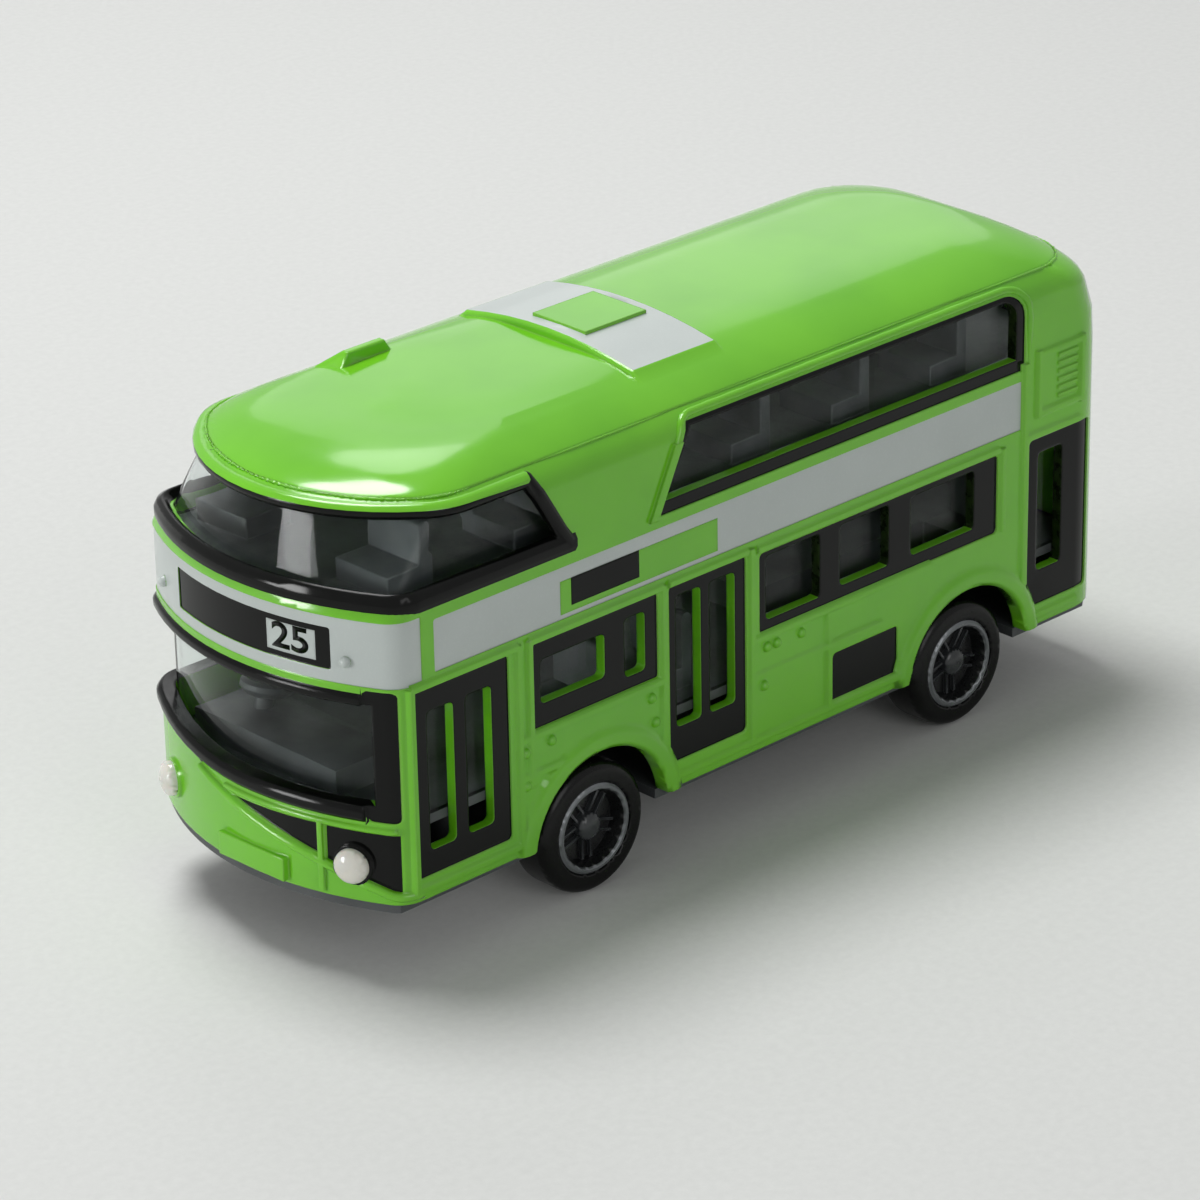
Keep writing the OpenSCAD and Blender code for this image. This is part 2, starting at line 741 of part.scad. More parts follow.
// Rounded bar up the slanted rear edge of the upper windscreen
post_levels = [belt_z + belt_bead_r, shoulder_z, eave_z];
function post_x(z) = at_x(leaned(z, windscreen_rear_shares[0], windscreen_rear_shares[1]));
module screen_post(side) {
  for (k = [0:1])
    hull()
      for (z = [post_levels[k], post_levels[k + 1]])
        translate([post_x(z), side * (half_w - side_in(z) - rim_bead_r * rim_sink_share), z])
          sphere(r = rim_bead_r, $fn = 12);
}

// Raised bead along the slanted front edge of the long window's panel
function long_x(z) = at_x(leaned(z, long_panel_front_shares[0], long_panel_front_shares[1])) + bead_w / 4;
module long_bead(side) {
  across(
    [
      [long_x(belt_z), belt_z], [long_x(belt_z) + bead_w, belt_z],
      [long_x(shoulder_z) + bead_w, shoulder_z], [long_x(shoulder_z), shoulder_z]
    ],
    side, half_w - wall / 2, half_w + bead_h
  );
}

module body_rims() {
  for (side = [1, -1]) {
    screen_post(side);
    long_bead(side);
  }
  belt_x = at_x(windscreen_rear_shares[0]);
  belt = front_path(belt_z + belt_bead_r, wall - belt_bead_d, belt_x, belt_x);
  sweep(belt, level(belt, belt_z + belt_bead_r), belt_bead_r, belt_bead_d);
  eave_x = at_x(windscreen_rear_shares[1]);
  eave = front_path(eave_z, rim_bead_r * rim_sink_share, eave_x, eave_x);
  sweep(eave, level(eave, eave_z), rim_bead_r, rim_bead_r);
  whole = tail(front_path(sill_z, rim_bead_r * rim_sink_share, half_l - nose_depth, at_x(screen_wrap_share)));
  screen = [for (q = whole) if (q[1] < screen_left_y + rim_bead_r) q];
  sweep(screen, level(screen, screen_head_z + screen_head_drop), rim_bead_r, rim_bead_r);
  sweep(screen, [for (q = screen) swept(q[1])], screen_rim_r, screen_rim_r);
  nose = tail(front_path(sill_z, 0, half_l - nose_depth, at_x(screen_wrap_share)));
  ridge = [for (q = nose) if (q[1] > ridge_y_shares[0] * half_w) q];
  sweep(ridge, [for (q = ridge) ridge_z(q[1])], bead_w / 2, bead_w / 2);
  brow = [for (q = nose) if (q[1] > brow_y_shares[0] * half_w && q[1] < brow_y_shares[1] * half_w) q];
  sweep(brow, level(brow, at_z(brow_z_share)), bead_w / 3, bead_w / 3);
}

module body_shell() {
  color("yellowgreen")
    difference() {
      union() {
        difference() {
          union() {
            translate([0, 0, sill_z])
              linear_extrude(lower_h)
                difference() {
                  polygon(section(sill_z, 0));
                  polygon(section(sill_z, wall));
                }
            ring_loft(concat(upper_levels(belt_z), [seam_z]), 0, wall);
          }
          print_pockets();
          band_pockets();
          for (side = [1, -1])
            across(windscreen_side, side, -over, half_w + over);
        }
        body_relief();
        body_rims();
        for (x = screw_x)
          screw_boss(x);
      }
      side_wall_cut(left_opening_shares, 1);
      side_wall_cut(right_opening_shares, -1);
      for (side = [1, -1])
        across(
          long_outline(
            long_window_front_shares, long_window_rear_share, long_window_z_shares, long_reveal_r
          ),
          side, half_w - wall - over, half_w + over
        );
      ahead(screen_front, at_x(screen_wrap_share), half_l + over);
      ahead(rear_frame(rear_window_shares), -half_l - over, rear_depth - half_l);
      ahead(rear_frame_up(rear_upper_shares), -half_l - over, rear_depth - half_l);
      for (x = [front_axle_x, rear_axle_x])
        translate([x, 0, axle_z])
          rod(arch_r, -half_w - over, half_w + over);
      for (side = [1, -1])
        on_nose(side * lamp_y, lamp_z)
          rotate([0, 90, 0])
            translate([0, 0, -wall - over]) {
              cylinder(r = lamp_stem_r + seat_gap, h = wall + 2 * over);
              translate([0, 0, wall + over + lamp_boss_h])
                cylinder(r = lamp_boss_r, h = over);
            }
      for (x = screw_x)
        translate([x, 0, boss_z - over])
          cylinder(r = screw_r + seat_gap, h = boss_h - boss_cap + over);
    }
}

// Roof: closed shell from the seam to the crown
roof_n = 9;
function roof_z(k) = crown_z - (crown_z - seam_z) * pow(1 - k / roof_n, 2);
module roof_shell() {
  n = len(section(seam_z, 0));
  m = roof_n + 1;
  points = concat(
    [for (k = [0:roof_n]) each lift(section(roof_z(k), 0), roof_z(k))],
    [for (k = [0:roof_n]) each lift(section(roof_z(k), wall), roof_z(k) - wall * k / roof_n)]
  );
  faces = concat(
    [for (k = [0:roof_n - 1]) each strip(k * n, (k + 1) * n, n)],
    [for (k = [0:roof_n - 1]) each strip((m + k + 1) * n, (m + k) * n, n)],
    strip(m * n, 0, n),
    [[for (i = [n - 1:-1:0]) (m - 1) * n + i]],
    [[for (i = [0:n - 1]) (2 * m - 1) * n + i]]
  );
  polyhedron(points, faces);
}

hump_x_share = 0.1044;
hump_x = at_x(hump_x_share);
hump_z = crown_z + hump_h;
hump_edge_r = 0.6;
hump_foot = 4.2;
hump_top_w = 28.4;
hump_sag = 1.4;
hump_n = 4;
pad_l = 8.8;
pad_w = 4.2;
pad_h = 2.7;
pad_top_l = 6;
pad_top_w = 1.2;
pad_r = 0.35;
pad_x_share = 0.504;
pad_y_share = -0.515;
pad_drop = 1.6;
pad_x = at_x(pad_x_share);
pad_y = pad_y_share * half_w;
pad_z = crown_z - pad_drop;

module roof() {
  color("yellowgreen") {
    roof_shell();
    hull()
      for (sx = [1, -1]) {
        for (i = [-hump_n:hump_n])
          translate([
            hump_x + sx * (hump_l / 2 - hump_edge_r), i / hump_n * (hump_top_w / 2 - hump_edge_r),
            hump_z - hump_sag * pow(i / hump_n, 2) - hump_edge_r
          ])
            sphere(r = hump_edge_r, $fn = 16);
        for (sy = [1, -1])
          translate([
            hump_x + sx * (hump_l / 2 - hump_edge_r), sy * (hump_w / 2 - hump_edge_r), hump_z - hump_foot
          ])
            cylinder(r = hump_edge_r, h = hump_edge_r, $fn = 24);
      }
    translate([hump_x - hatch_l / 2, -hatch_w / 2, hump_z - hump_edge_r])
      cube([hatch_l, hatch_w, hump_edge_r + band_d * 2]);
    hull()
      for (sx = [1, -1], sy = [1, -1]) {
        translate([
          pad_x + sx * (pad_top_l / 2 - pad_r), pad_y - pad_top_w / 2 + sy * (pad_top_w / 2 - pad_r),
          pad_z + pad_h - pad_r
        ])
          sphere(r = pad_r, $fn = 12);
        translate([pad_x + sx * (pad_l / 2 - pad_r), pad_y - pad_w / 2 + sy * (pad_w / 2 - pad_r), pad_z])
          cylinder(r = pad_r, h = pad_r, $fn = 12);
      }
  }
}

// Clear window mouldings
module upper_glazing() {
  color("gainsboro", 0.4)
    ring_loft(upper_levels(deck_top), pane_in, pane_in + pane_t);
}

module lower_glazing() {
  color("gainsboro", 0.4)
    translate([0, 0, floor_top])
      linear_extrude(deck_z - floor_top)
        difference() {
          polygon(section(sill_z, pane_in));
          polygon(section(sill_z, pane_in + pane_t));
        }
}

// Row of two seats across a deck
seat_l = 6.4;
seat_h = 2.6;
seat_back_t = 1.6;
seat_w = 8.6;
seat_y = 12.4;
inner_w = half_w - pane_in - pane_t - fit_gap;
module seat(x, y, z, back_h) {
  profile = concat(
    [[x - seat_l / 2, z], [x + seat_l / 2, z]],
    [[x + seat_l / 2, z + seat_h], [x - seat_l / 2 + seat_back_t, z + seat_h]],
    arc(x - seat_l / 2 + seat_back_t / 2, z + back_h - seat_back_t / 2, seat_back_t / 2, 0, 180, 6)
  );
  across(profile, y > 0 ? 1 : -1, abs(y) - seat_w / 2, abs(y) + seat_w / 2);
}

upper_rows_shares = [0.80, 0.50, 0.215, -0.054, -0.325, -0.60];
upper_back_h = 7.6;
module upper_deck() {
  color("gray") {
    translate([0, 0, deck_z])
      linear_extrude(floor_t)
        polygon(section(sill_z, pane_in));
    for (row = upper_rows_shares, side = [1, -1])
      seat(at_x(row), side * seat_y * inner_w / (half_w - pane_in), deck_top, upper_back_h);
  }
}

lower_rows_shares = [0.36, 0.16, -0.74];
lower_back_h = 9.4;
dash_in = 6.6;
dash_l = 9;
dash_h = 3.4;
dash_w = 24;
dash_y = -3;
wheel_y_share = -0.78;
column_r = 1.1;
column_h = 6;
steering_r = 3.1;
steering_t = 0.7;
steering_tilt = -15;
hump_case_t = 1;
case_top = drum_at[1] + gear_r(drum_teeth) + case_gap + motor_wall;
motor_x0 = rear_axle_x - gear_r(axle_teeth) - case_gap - motor_wall;
motor_x1 = drum_at[0] + gear_r(drum_teeth) + case_gap + motor_wall;
module motor_tunnel(grow) {
  translate([motor_x0 - grow, case_y0 - grow, floor_z - over])
    cube([motor_x1 - motor_x0 + 2 * grow, case_y1 - case_y0 + 2 * grow, case_top + grow - floor_z + over]);
}

module lower_interior() {
  color("gray")
    difference() {
      union() {
        translate([0, 0, floor_z])
          linear_extrude(floor_t)
            polygon(section(sill_z, pane_in));
        intersection() {
          motor_tunnel(fit_gap + hump_case_t);
          translate([-half_l, -half_w, floor_z])
            cube([body_l, body_w, lower_h]);
        }
        for (row = lower_rows_shares, side = [1, -1])
          seat(at_x(row), side * seat_y * inner_w / (half_w - pane_in), floor_top, lower_back_h);
        translate([half_l - dash_in - dash_l, dash_y - dash_w / 2, floor_top])
          cube([dash_l, dash_w, dash_h]);
        translate([half_l - dash_in - dash_l / 2, wheel_y_share * seat_y, floor_top])
          rotate([0, steering_tilt, 0])
            rotate_extrude()
              polygon([
                [0, 0], [column_r, 0], [column_r, column_h - steering_t],
                [steering_r - steering_t, column_h - steering_t],
                [steering_r - steering_t, column_h - 3 * steering_t / 2],
                [steering_r, column_h - steering_t / 2], [steering_r, column_h + steering_t / 2],
                [steering_r - steering_t, column_h + steering_t],
                [steering_r - steering_t, column_h], [0, column_h]
              ]);
      }
      motor_tunnel(fit_gap);
    }
}

// Base plate with bearings for the front axle, seats for the screws and posts under the floor
bearing_l = 3;
bearing_w = 5.2;
bearing_h = 4.8;
wheel_room = 1.2;
bearing_foot = 1.5;
bearing_gap = 0.6;
bearing_y = wheel_in_y - bearing_gap;
well_in = 0.6;
lip_in = 0.4;
base_side_in = 1.2;
post_r = 2;
post_x_shares = [0.70, 0.12, -0.02, -0.88];
post_y = 13.4;
module base_outline() {
  intersection() {
    polygon(section(sill_z, lip_in));
    translate([-half_l, base_side_in - half_w])
      square([body_l, body_w - 2 * base_side_in]);
  }
}

module wheel_well(x, side) {
  y0 = wheel_in_y - wheel_room;
  translate([x - arch_r + well_in, side > 0 ? y0 : -half_w - over, base_z - over])
    cube([2 * (arch_r - well_in), half_w + over - y0, floor_z]);
}

module chassis() {
  color("dimgray")
    difference() {
      union() {
        difference() {
          translate([0, 0, base_z])
            linear_extrude(base_t)
              base_outline();
          for (x = [front_axle_x, rear_axle_x], side = [1, -1])
            wheel_well(x, side);
          for (x = [front_axle_x, rear_axle_x])
            translate([x - bearing_w / 2, -wheel_in_y, base_z - over])
              cube([bearing_w, 2 * wheel_in_y, base_t + 2 * over]);
          translate([motor_x0 - fit_gap, case_y0 - fit_gap, base_z - over])
            cube([motor_x1 - motor_x0 + 2 * fit_gap, case_y1 - case_y0 + 2 * fit_gap, base_t + 2 * over]);
        }
        for (x = [front_axle_x, rear_axle_x], side = [1, -1])
          translate([
            x - bearing_w / 2 - bearing_foot, side > 0 ? bearing_y - bearing_l : -bearing_y,
            axle_z - bearing_h / 2
          ])
            cube([bearing_w + 2 * bearing_foot, bearing_l, bearing_h]);
        for (share = post_x_shares, side = [1, -1])
          translate([at_x(share), side * post_y, base_z])
            cylinder(r = post_r, h = floor_z - base_z);
        for (x = screw_x)
          translate([x, 0, base_z])
            cylinder(r = boss_r, h = boss_z - base_z);
      }
      for (x = [front_axle_x, rear_axle_x])
        translate([x, 0, axle_z])
          rod(axle_r + run_gap, -half_w, half_w);
      for (x = screw_x) {
        translate([x, 0, base_z - over])
          cylinder(r = screw_r + fit_gap, h = boss_z - base_z + 2 * over);
        translate([x, 0, base_z - over])
          cylinder(r = screw_head_r + fit_gap, h = screw_head_t + over);
      }
    }
}

module chassis_screws() {
  color("silver")
    for (x = screw_x)
      translate([x, 0, base_z]) {
        cylinder(r = screw_head_r, h = screw_head_t);
        cylinder(r = screw_r, h = boss_top - base_z - boss_cap - fit_gap);
      }
}

// Dome as points [r, z] from its rim to its top, above the height z
dome_n = 6;
function arc_dome(r, h, z) = [for (i = [0:dome_n]) [r * cos(90 * i / dome_n), z + h * sin(90 * i / dome_n)]];

// Lamp pins: a domed head on a stem through the front wall
lamp_tail = 0.8;
lamp_rim_t = 0.4;
lamp_dome_h = 1.1;
module headlamp(side) {
  color("white")
    on_nose(side * lamp_y, lamp_z)
      rotate([0, 90, 0])
        rotate_extrude()
          polygon(concat(
            [[0, -wall - lamp_tail], [lamp_stem_r, -wall - lamp_tail]],
            [[lamp_stem_r, lamp_boss_h], [lamp_r, lamp_boss_h]],
            arc_dome(lamp_r, lamp_dome_h, lamp_boss_h + lamp_rim_t)
          ));
}

module headlamp_left() { headlamp(1); }
module headlamp_right() { headlamp(-1); }

// Wheels: a dished hub with a raised rim, a domed boss and pairs of ribs, and a tyre with round shoulders
hub_step = 0.5;
hub_seat_r = hub_r - hub_step;
hub_lip = 0.6;
hub_rim_w = 0.8;
hub_round = 0.25;
dish_d = 2;
dish_slope = 0.5;
hub_boss_r = 1.7;
hub_boss_h = 0.9;
hub_dome_h = 0.8;
rib_n = 5;
rib_t = 0.3;
rib_h = 0.5;
rib_pitch = 1.3;
axle_cover = 1.1;
module hub(x, side) {
  dish_r = hub_r - hub_rim_w - dish_slope;
  color("darkgray")
    translate([x, side * wheel_y, axle_z])
      rotate([-90 * side, 0, 0])
        difference() {
          union() {
            rotate_extrude()
              polygon(concat(
                [[0, -tyre_w], [hub_seat_r, -tyre_w], [hub_seat_r, -hub_lip], [hub_r, -hub_lip]],
                [[hub_r, -hub_round], [hub_r - hub_round, 0], [hub_r - hub_rim_w + hub_round, 0]],
                [[hub_r - hub_rim_w, -hub_round], [dish_r, -dish_d], [hub_boss_r, -dish_d]],
                arc_dome(hub_boss_r, hub_dome_h, hub_boss_h - dish_d)
              ));
            for (i = [0:rib_n - 1], pair = [1, -1])
              rotate([0, 0, 360 * i / rib_n + 90])
                translate([0, pair * rib_pitch / 2 - rib_t / 2, -dish_d - rib_h])
                  cube([dish_r, rib_t, 2 * rib_h]);
          }
          translate([0, 0, -tyre_w - over])
            cylinder(r = axle_r + seat_gap, h = tyre_w - dish_d + over);
        }
}

shoulder_r = 1.3;
shoulder_n = 5;
tyre_step = 0.2;
tyre_bead = 0.4;
function shoulder(r, z, side) =
  [for (i = [0:shoulder_n])
    let (a = 90 * i / shoulder_n)
    [r - shoulder_r + shoulder_r * cos(a), z + side * shoulder_r * (sin(a) - 1)]];
function reversed(list) = [for (i = [len(list) - 1:-1:0]) list[i]];
module tyre(x, side) {
  bore_r = hub_seat_r + seat_gap;
  lip_r = hub_r + seat_gap;
  color("black")
    translate([x, side * wheel_y, axle_z])
      rotate([-90 * side, 0, 0])
        rotate_extrude($fn = 64)
          polygon(concat(
            [[bore_r, -tyre_w], [bore_r, -hub_lip - seat_gap], [lip_r, -hub_lip - seat_gap]],
            [[lip_r, -tyre_step], [lip_r + tyre_bead, 0]],
            reversed(shoulder(tyre_d / 2, 0, 1)),
            shoulder(tyre_d / 2, -tyre_w, -1)
          ));
}

module hub_front_left() { hub(front_axle_x, 1); }
module hub_front_right() { hub(front_axle_x, -1); }
module hub_rear_left() { hub(rear_axle_x, 1); }
module hub_rear_right() { hub(rear_axle_x, -1); }
module tyre_front_left() { tyre(front_axle_x, 1); }
module tyre_front_right() { tyre(front_axle_x, -1); }
module tyre_rear_left() { tyre(rear_axle_x, 1); }
module tyre_rear_right() { tyre(rear_axle_x, -1); }

axle_half = wheel_y - dish_d - fit_gap;
module axle(x) {
  color("silver")
    translate([x, 0, axle_z])
      rod(axle_r, -axle_half, axle_half);
}

module front_axle() { axle(front_axle_x); }
module rear_axle() { axle(rear_axle_x); }

// Motor gears: one tooth points along the angle turn
function gear_points(teeth, turn) =
  [for (i = [0:teeth - 1]) each [
    for (s = concat(
      [for (k = [0:2]) [tooth_shares[k][0], -tooth_shares[k][1]]],
      [for (k = [2:-1:0]) tooth_shares[k]]
    ))
      let (r = gear_r(teeth) + s[0] * gear_m, a = turn + 360 * (i + s[1]) / teeth)
      [r * cos(a), r * sin(a)]
  ]];

module gear(teeth, turn, y0, y1) {
  across(gear_points(teeth, turn), 1, y0, y1);
}

module at_gear(place) {
  translate([place[0], 0, place[1]])
    children();
}

module axle_gear() {
  color("ivory")
    at_gear(axle_at)
      difference() {
        gear(axle_teeth, idler_lift, wheel_y0, wheel_y0 + gear_t);
        rod(axle_r + seat_gap, wheel_y0 - over, wheel_y0 + gear_t + over);
      }
}

module idler_gear() {
  color("ivory")
    at_gear(idler_at)
      difference() {
        union() {
          gear(idler_teeth, idler_lift + 180 + 180 / idler_teeth, wheel_y0, wheel_y0 + gear_t);
          rod(gear_r(pinion_teeth) - root_share * gear_m, wheel_y0, pinion_y0 + gear_t);
          gear(pinion_teeth, drum_lift, pinion_y0, pinion_y0 + gear_t);
        }
        rod(gear_pin_r + run_gap, wheel_y0 - over, pinion_y0 + gear_t + over);
      }
}

drum_step = 1.2;
drum_r = gear_r(drum_teeth) - drum_step;
drum_wall = 0.8;
arbor_r = 1.5;
module spring_drum() {
  color("ivory")
    at_gear(drum_at)
      difference() {
        union() {
          gear(drum_teeth, drum_lift + 180 + 180 / drum_teeth, pinion_y0, pinion_y0 + gear_t);
          rod(drum_r, drum_y0, drum_y0 + drum_h);
        }
        difference() {
          rod(drum_r - drum_wall, drum_y0, drum_y0 + drum_h + over);
          rod(arbor_r, drum_y0 - over, drum_y0 + drum_h + 2 * over);
        }
        rod(gear_pin_r + run_gap, pinion_y0 - over, drum_y0 + drum_h + over);
      }
}

// Flat spiral spring between the arbor and the drum's wall
spring_turns = 4;
spring_t = 0.25;
spring_n = 20;
module mainspring() {
  r0 = arbor_r + seat_gap;
  r1 = drum_r - drum_wall - seat_gap - spring_t;
  steps = spring_turns * spring_n;
  function spiral(i, add) =
    let (r = r0 + (r1 - r0) * i / steps + add, a = 360 * i / spring_n)
    [r * cos(a), r * sin(a)];
  color("lightsteelblue")
    at_gear(drum_at)
      across(
        concat(
          [for (i = [0:steps]) spiral(i, 0)],
          [for (i = [steps:-1:0]) spiral(i, spring_t)]
        ),
        1, drum_y0, drum_y0 + drum_h - spring_t
      );
}

module idler_pin() {
  color("silver")
    at_gear(idler_at)
      rod(gear_pin_r, case_y0 + motor_wall / 2, case_y1 - motor_wall / 2);
}

module drum_pin() {
  color("silver")
    at_gear(drum_at)
      rod(gear_pin_r, case_y0 + motor_wall / 2, case_y1 - motor_wall / 2);
}

// Case halves: a pan round the gears, with the axle and pin bores in its side wall
tab_l = 3;
tab_w = 2.4;
module case_outline(grow) {
  hull() {
    translate(axle_at)
      circle(r = gear_r(axle_teeth) + case_gap + grow);
    translate(idler_at)
      circle(r = gear_r(idler_teeth) + case_gap + grow);
    translate(drum_at)
      circle(r = gear_r(drum_teeth) + case_gap + grow);
  }
}

module case_slab(grow, y0, y1) {
  translate([0, y1, 0])
    rotate([90, 0, 0])
      linear_extrude(y1 - y0)
        case_outline(grow);
}

module motor_case(y0, y1, inner_y0, inner_y1, tab_y) {
  color("darkslategray")
    difference() {
      union() {
        case_slab(motor_wall, y0, y1);
        for (x = [idler_at[0] - tab_l, drum_at[0] - tab_l])
          translate([x, tab_y, sill_z])
            cube([tab_l, tab_w, floor_t]);
      }
      case_slab(0, inner_y0, inner_y1);
      at_gear(axle_at)
        rod(axle_r + run_gap, case_y0 - over, case_y1 + over);
      for (place = [idler_at, drum_at])
        at_gear(place)
          rod(
            gear_pin_r + seat_gap, case_y0 + motor_wall / 2 - seat_gap, case_y1 - motor_wall / 2 + seat_gap
          );
    }
}

module motor_case_left() {
  motor_case(case_split_y, case_y1, case_split_y - over, case_y1 - motor_wall, case_y1 - motor_wall / 2);
}

module motor_case_right() {
  motor_case(
    case_y0, case_split_y, case_y0 + motor_wall, case_split_y + over, case_y0 + motor_wall / 2 - tab_w
  );
}

body_shell();
roof();
upper_glazing();
lower_glazing();
upper_deck();
lower_interior();
chassis();
chassis_screws();
headlamp_left();
headlamp_right();
front_axle();
rear_axle();
hub_front_left();
hub_front_right();
hub_rear_left();
hub_rear_right();
tyre_front_left();
tyre_front_right();
tyre_rear_left();
tyre_rear_right();
motor_case_left();
motor_case_right();
axle_gear();
idler_gear();
spring_drum();
mainspring();
idler_pin();
drum_pin();
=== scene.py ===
import math

import bpy
from mathutils import Matrix, Vector


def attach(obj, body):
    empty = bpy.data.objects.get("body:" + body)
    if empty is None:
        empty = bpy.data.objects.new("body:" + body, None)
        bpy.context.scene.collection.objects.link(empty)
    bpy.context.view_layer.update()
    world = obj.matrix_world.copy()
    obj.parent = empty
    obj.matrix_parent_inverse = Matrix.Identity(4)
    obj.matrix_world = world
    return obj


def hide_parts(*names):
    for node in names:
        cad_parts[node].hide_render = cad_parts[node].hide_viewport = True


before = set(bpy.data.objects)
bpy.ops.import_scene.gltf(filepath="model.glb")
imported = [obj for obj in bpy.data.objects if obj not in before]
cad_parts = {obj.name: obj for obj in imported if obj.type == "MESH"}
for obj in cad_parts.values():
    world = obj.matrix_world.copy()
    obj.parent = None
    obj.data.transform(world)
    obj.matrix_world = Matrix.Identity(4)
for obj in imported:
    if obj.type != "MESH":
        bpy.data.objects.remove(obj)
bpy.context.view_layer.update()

bl_info = {
    "name": "Toy Bus Finishes",
    "version": (1, 0, 0),
    "blender": (4, 5, 0),
    "location": "View3D > Sidebar > Toy Bus",
    "description": "Gives the packed toy bus its lacquer, prints, glazing, wheels and studio",
    "category": "Object",
}

MM = 0.001

# Sizes of the cast body in millimetres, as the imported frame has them
HALF_L, HALF_W = 61.3, 21.0
BELT_Z, EAVE_Z, SEAM_Z, CROWN_Z = 43.6, 54.0, 55.2, 58.9
SHOULDER_Z, TAIL_Z, DOME_Z = 52.0, 45.0, 53.5
SHOULDER_IN, TAIL_IN, DOME_IN = 15.0, 13.5, 30.0
NOSE_R, EAVE_NOSE_R, SCREEN_LEAN = 39.75, 23.4615, 3.0
CORNER_R, CORNER_GROWTH, CORNER_SPREAD = 3.6, 4.4, 1.1
REAR_CORNER_R, REAR_CORNER_SPREAD = 6.0, 0.7
FRONT_AXLE, REAR_AXLE, AXLE_Z = 26.0, -35.4, 8.0
WHEEL_FACE_Y = 20.1
HUB_LIP_R, HUB_BOSS_R, HUB_DISH_R = 4.5, 1.72, 4.75
HUMP_X, HUMP_HALF_L, HUMP_HALF_W, HUMP_FOOT_Z = 6.4, 6.85, 14.2, 58.3
HATCH_HALF_L, HATCH_HALF_W, HATCH_Z = 4.82, 4.42, 60.1

# Rims as rounded bars along the wall: depth and height of the middle, half depth, half height
BELT_RIM = (0.6, 45.0, 1.0, 1.4)
EAVE_RIM = (0.475, 54.0, 0.95, 0.95)
HEAD_RIM = (0.475, 33.94, 0.95, 0.95)
BELT_FROM_X, EAVE_FROM_X, SCREEN_FROM_X, SCREEN_END_Y = 28.9, 35.2, 39.7, 16.85
FOOT_DEPTH, FOOT_R, FOOT_Z, FOOT_RISE, FOOT_REACH = 0.475, 1.15, 20.276, 2.6, 23.0
SCREEN_POST = ((29.76, 20.525, 45.0), (34.09, 20.525, 52.0), (35.31, 19.88, 54.0))
POST_R = 1.0

# Printed areas: depths of the sunk panels, and the round ones by place and radius
BLACK_DEPTH, PALE_DEPTH, REVEAL_DEPTH = (0.19, 0.31), (0.085, 0.165), (0.4, 1.75)
LAMP_Y, LAMP_Z, LAMP_BOSS_R = 15.4, 13.81, 2.43
RIVET_Z, RIVET_R = 38.3, 1.3
TAIL_LAMP_X, TAIL_LAMP_Y, TAIL_LAMP_R, TAIL_LAMP_RANGE = -61.6, 11.97, 1.25, (13.0, 22.5)
LOW_WINDOW_RANGE, REAR_WINDOW_X = (25.5, 33.5), -46.0


class BusPaint(bpy.types.PropertyGroup):
    """Colours of the painted and printed surfaces"""

    lacquer: bpy.props.StringProperty(
        name="Lacquer", description="Main colour of the body lacquer, as sRGB hex", default="#70C31F"
    )
    lacquer_deep: bpy.props.StringProperty(
        name="Lacquer, deep", description="Colour where the lacquer has pooled, as sRGB hex",
        default="#5CAD17"
    )
    lacquer_thin: bpy.props.StringProperty(
        name="Lacquer, thin", description="Colour on edges where the lacquer is thin, as sRGB hex",
        default="#95DC4C"
    )
    # Painted shade: a nearly black green laid on the forward-facing window reveals, where shade falls
    lacquer_dim: bpy.props.StringProperty(
        name="Lacquer, shaded",
        description="Colour of the reveals where black ink has drifted in, as sRGB hex", default="#24380F"
    )
    ink: bpy.props.StringProperty(
        name="Black print", description="Colour of the gloss black print, as sRGB hex", default="#050605"
    )
    pale_ink: bpy.props.StringProperty(
        name="Pale print", description="Colour of the pale bands and the hump's top, as sRGB hex",
        default="#BCC4C1"
    )
    lamp_red: bpy.props.StringProperty(
        name="Tail lamps", description="Colour of the printed tail lamps, as sRGB hex", default="#A81712"
    )


class BusMouldings(bpy.types.PropertyGroup):
    """Colours of the plastic, rubber and metal pieces"""

    # Partly painted shade: the interior's grey is set darker than the plastic's own grey, for the dark
    # inside of the decks
    interior: bpy.props.StringProperty(
        name="Interior", description="Colour of the two deck mouldings, as sRGB hex", default="#505355"
    )
    base: bpy.props.StringProperty(
        name="Base", description="Colour of the base plate, as sRGB hex", default="#4A4D4F"
    )
    hub: bpy.props.StringProperty(
        name="Hub", description="Colour of the hub moulding, as sRGB hex", default="#383B3D"
    )
    rubber: bpy.props.StringProperty(
        name="Tyre", description="Colour of the tyre rubber, as sRGB hex", default="#080808"
    )
    lamp: bpy.props.StringProperty(
        name="Headlamp", description="Colour of the headlamp pins, as sRGB hex", default="#D6D4CD"
    )


class BusSurface(bpy.types.PropertyGroup):
    """Sizes of the surface detail, and the sign's number"""

    edge_r: bpy.props.FloatProperty(
        name="Edge radius", description="Radius that the lacquer rounds cast edges to",
        default=0.38 * MM, min=0.0, max=0.6 * MM, unit="LENGTH", precision=5,
    )
    peel: bpy.props.FloatProperty(
        name="Lacquer ripple", description="Size of the ripple in the lacquer",
        default=1.6 * MM, min=0.2 * MM, max=6 * MM, unit="LENGTH", precision=5,
    )
    flash: bpy.props.FloatProperty(
        name="Seam flash", description="Thickness of the ragged line along the roof seam",
        default=0.22 * MM, min=0.02 * MM, max=0.4 * MM, unit="LENGTH", precision=5,
    )
    number: bpy.props.IntProperty(
        name="Sign number", description="Plain number in the box of the front sign",
        default=25, min=1, max=99
    )


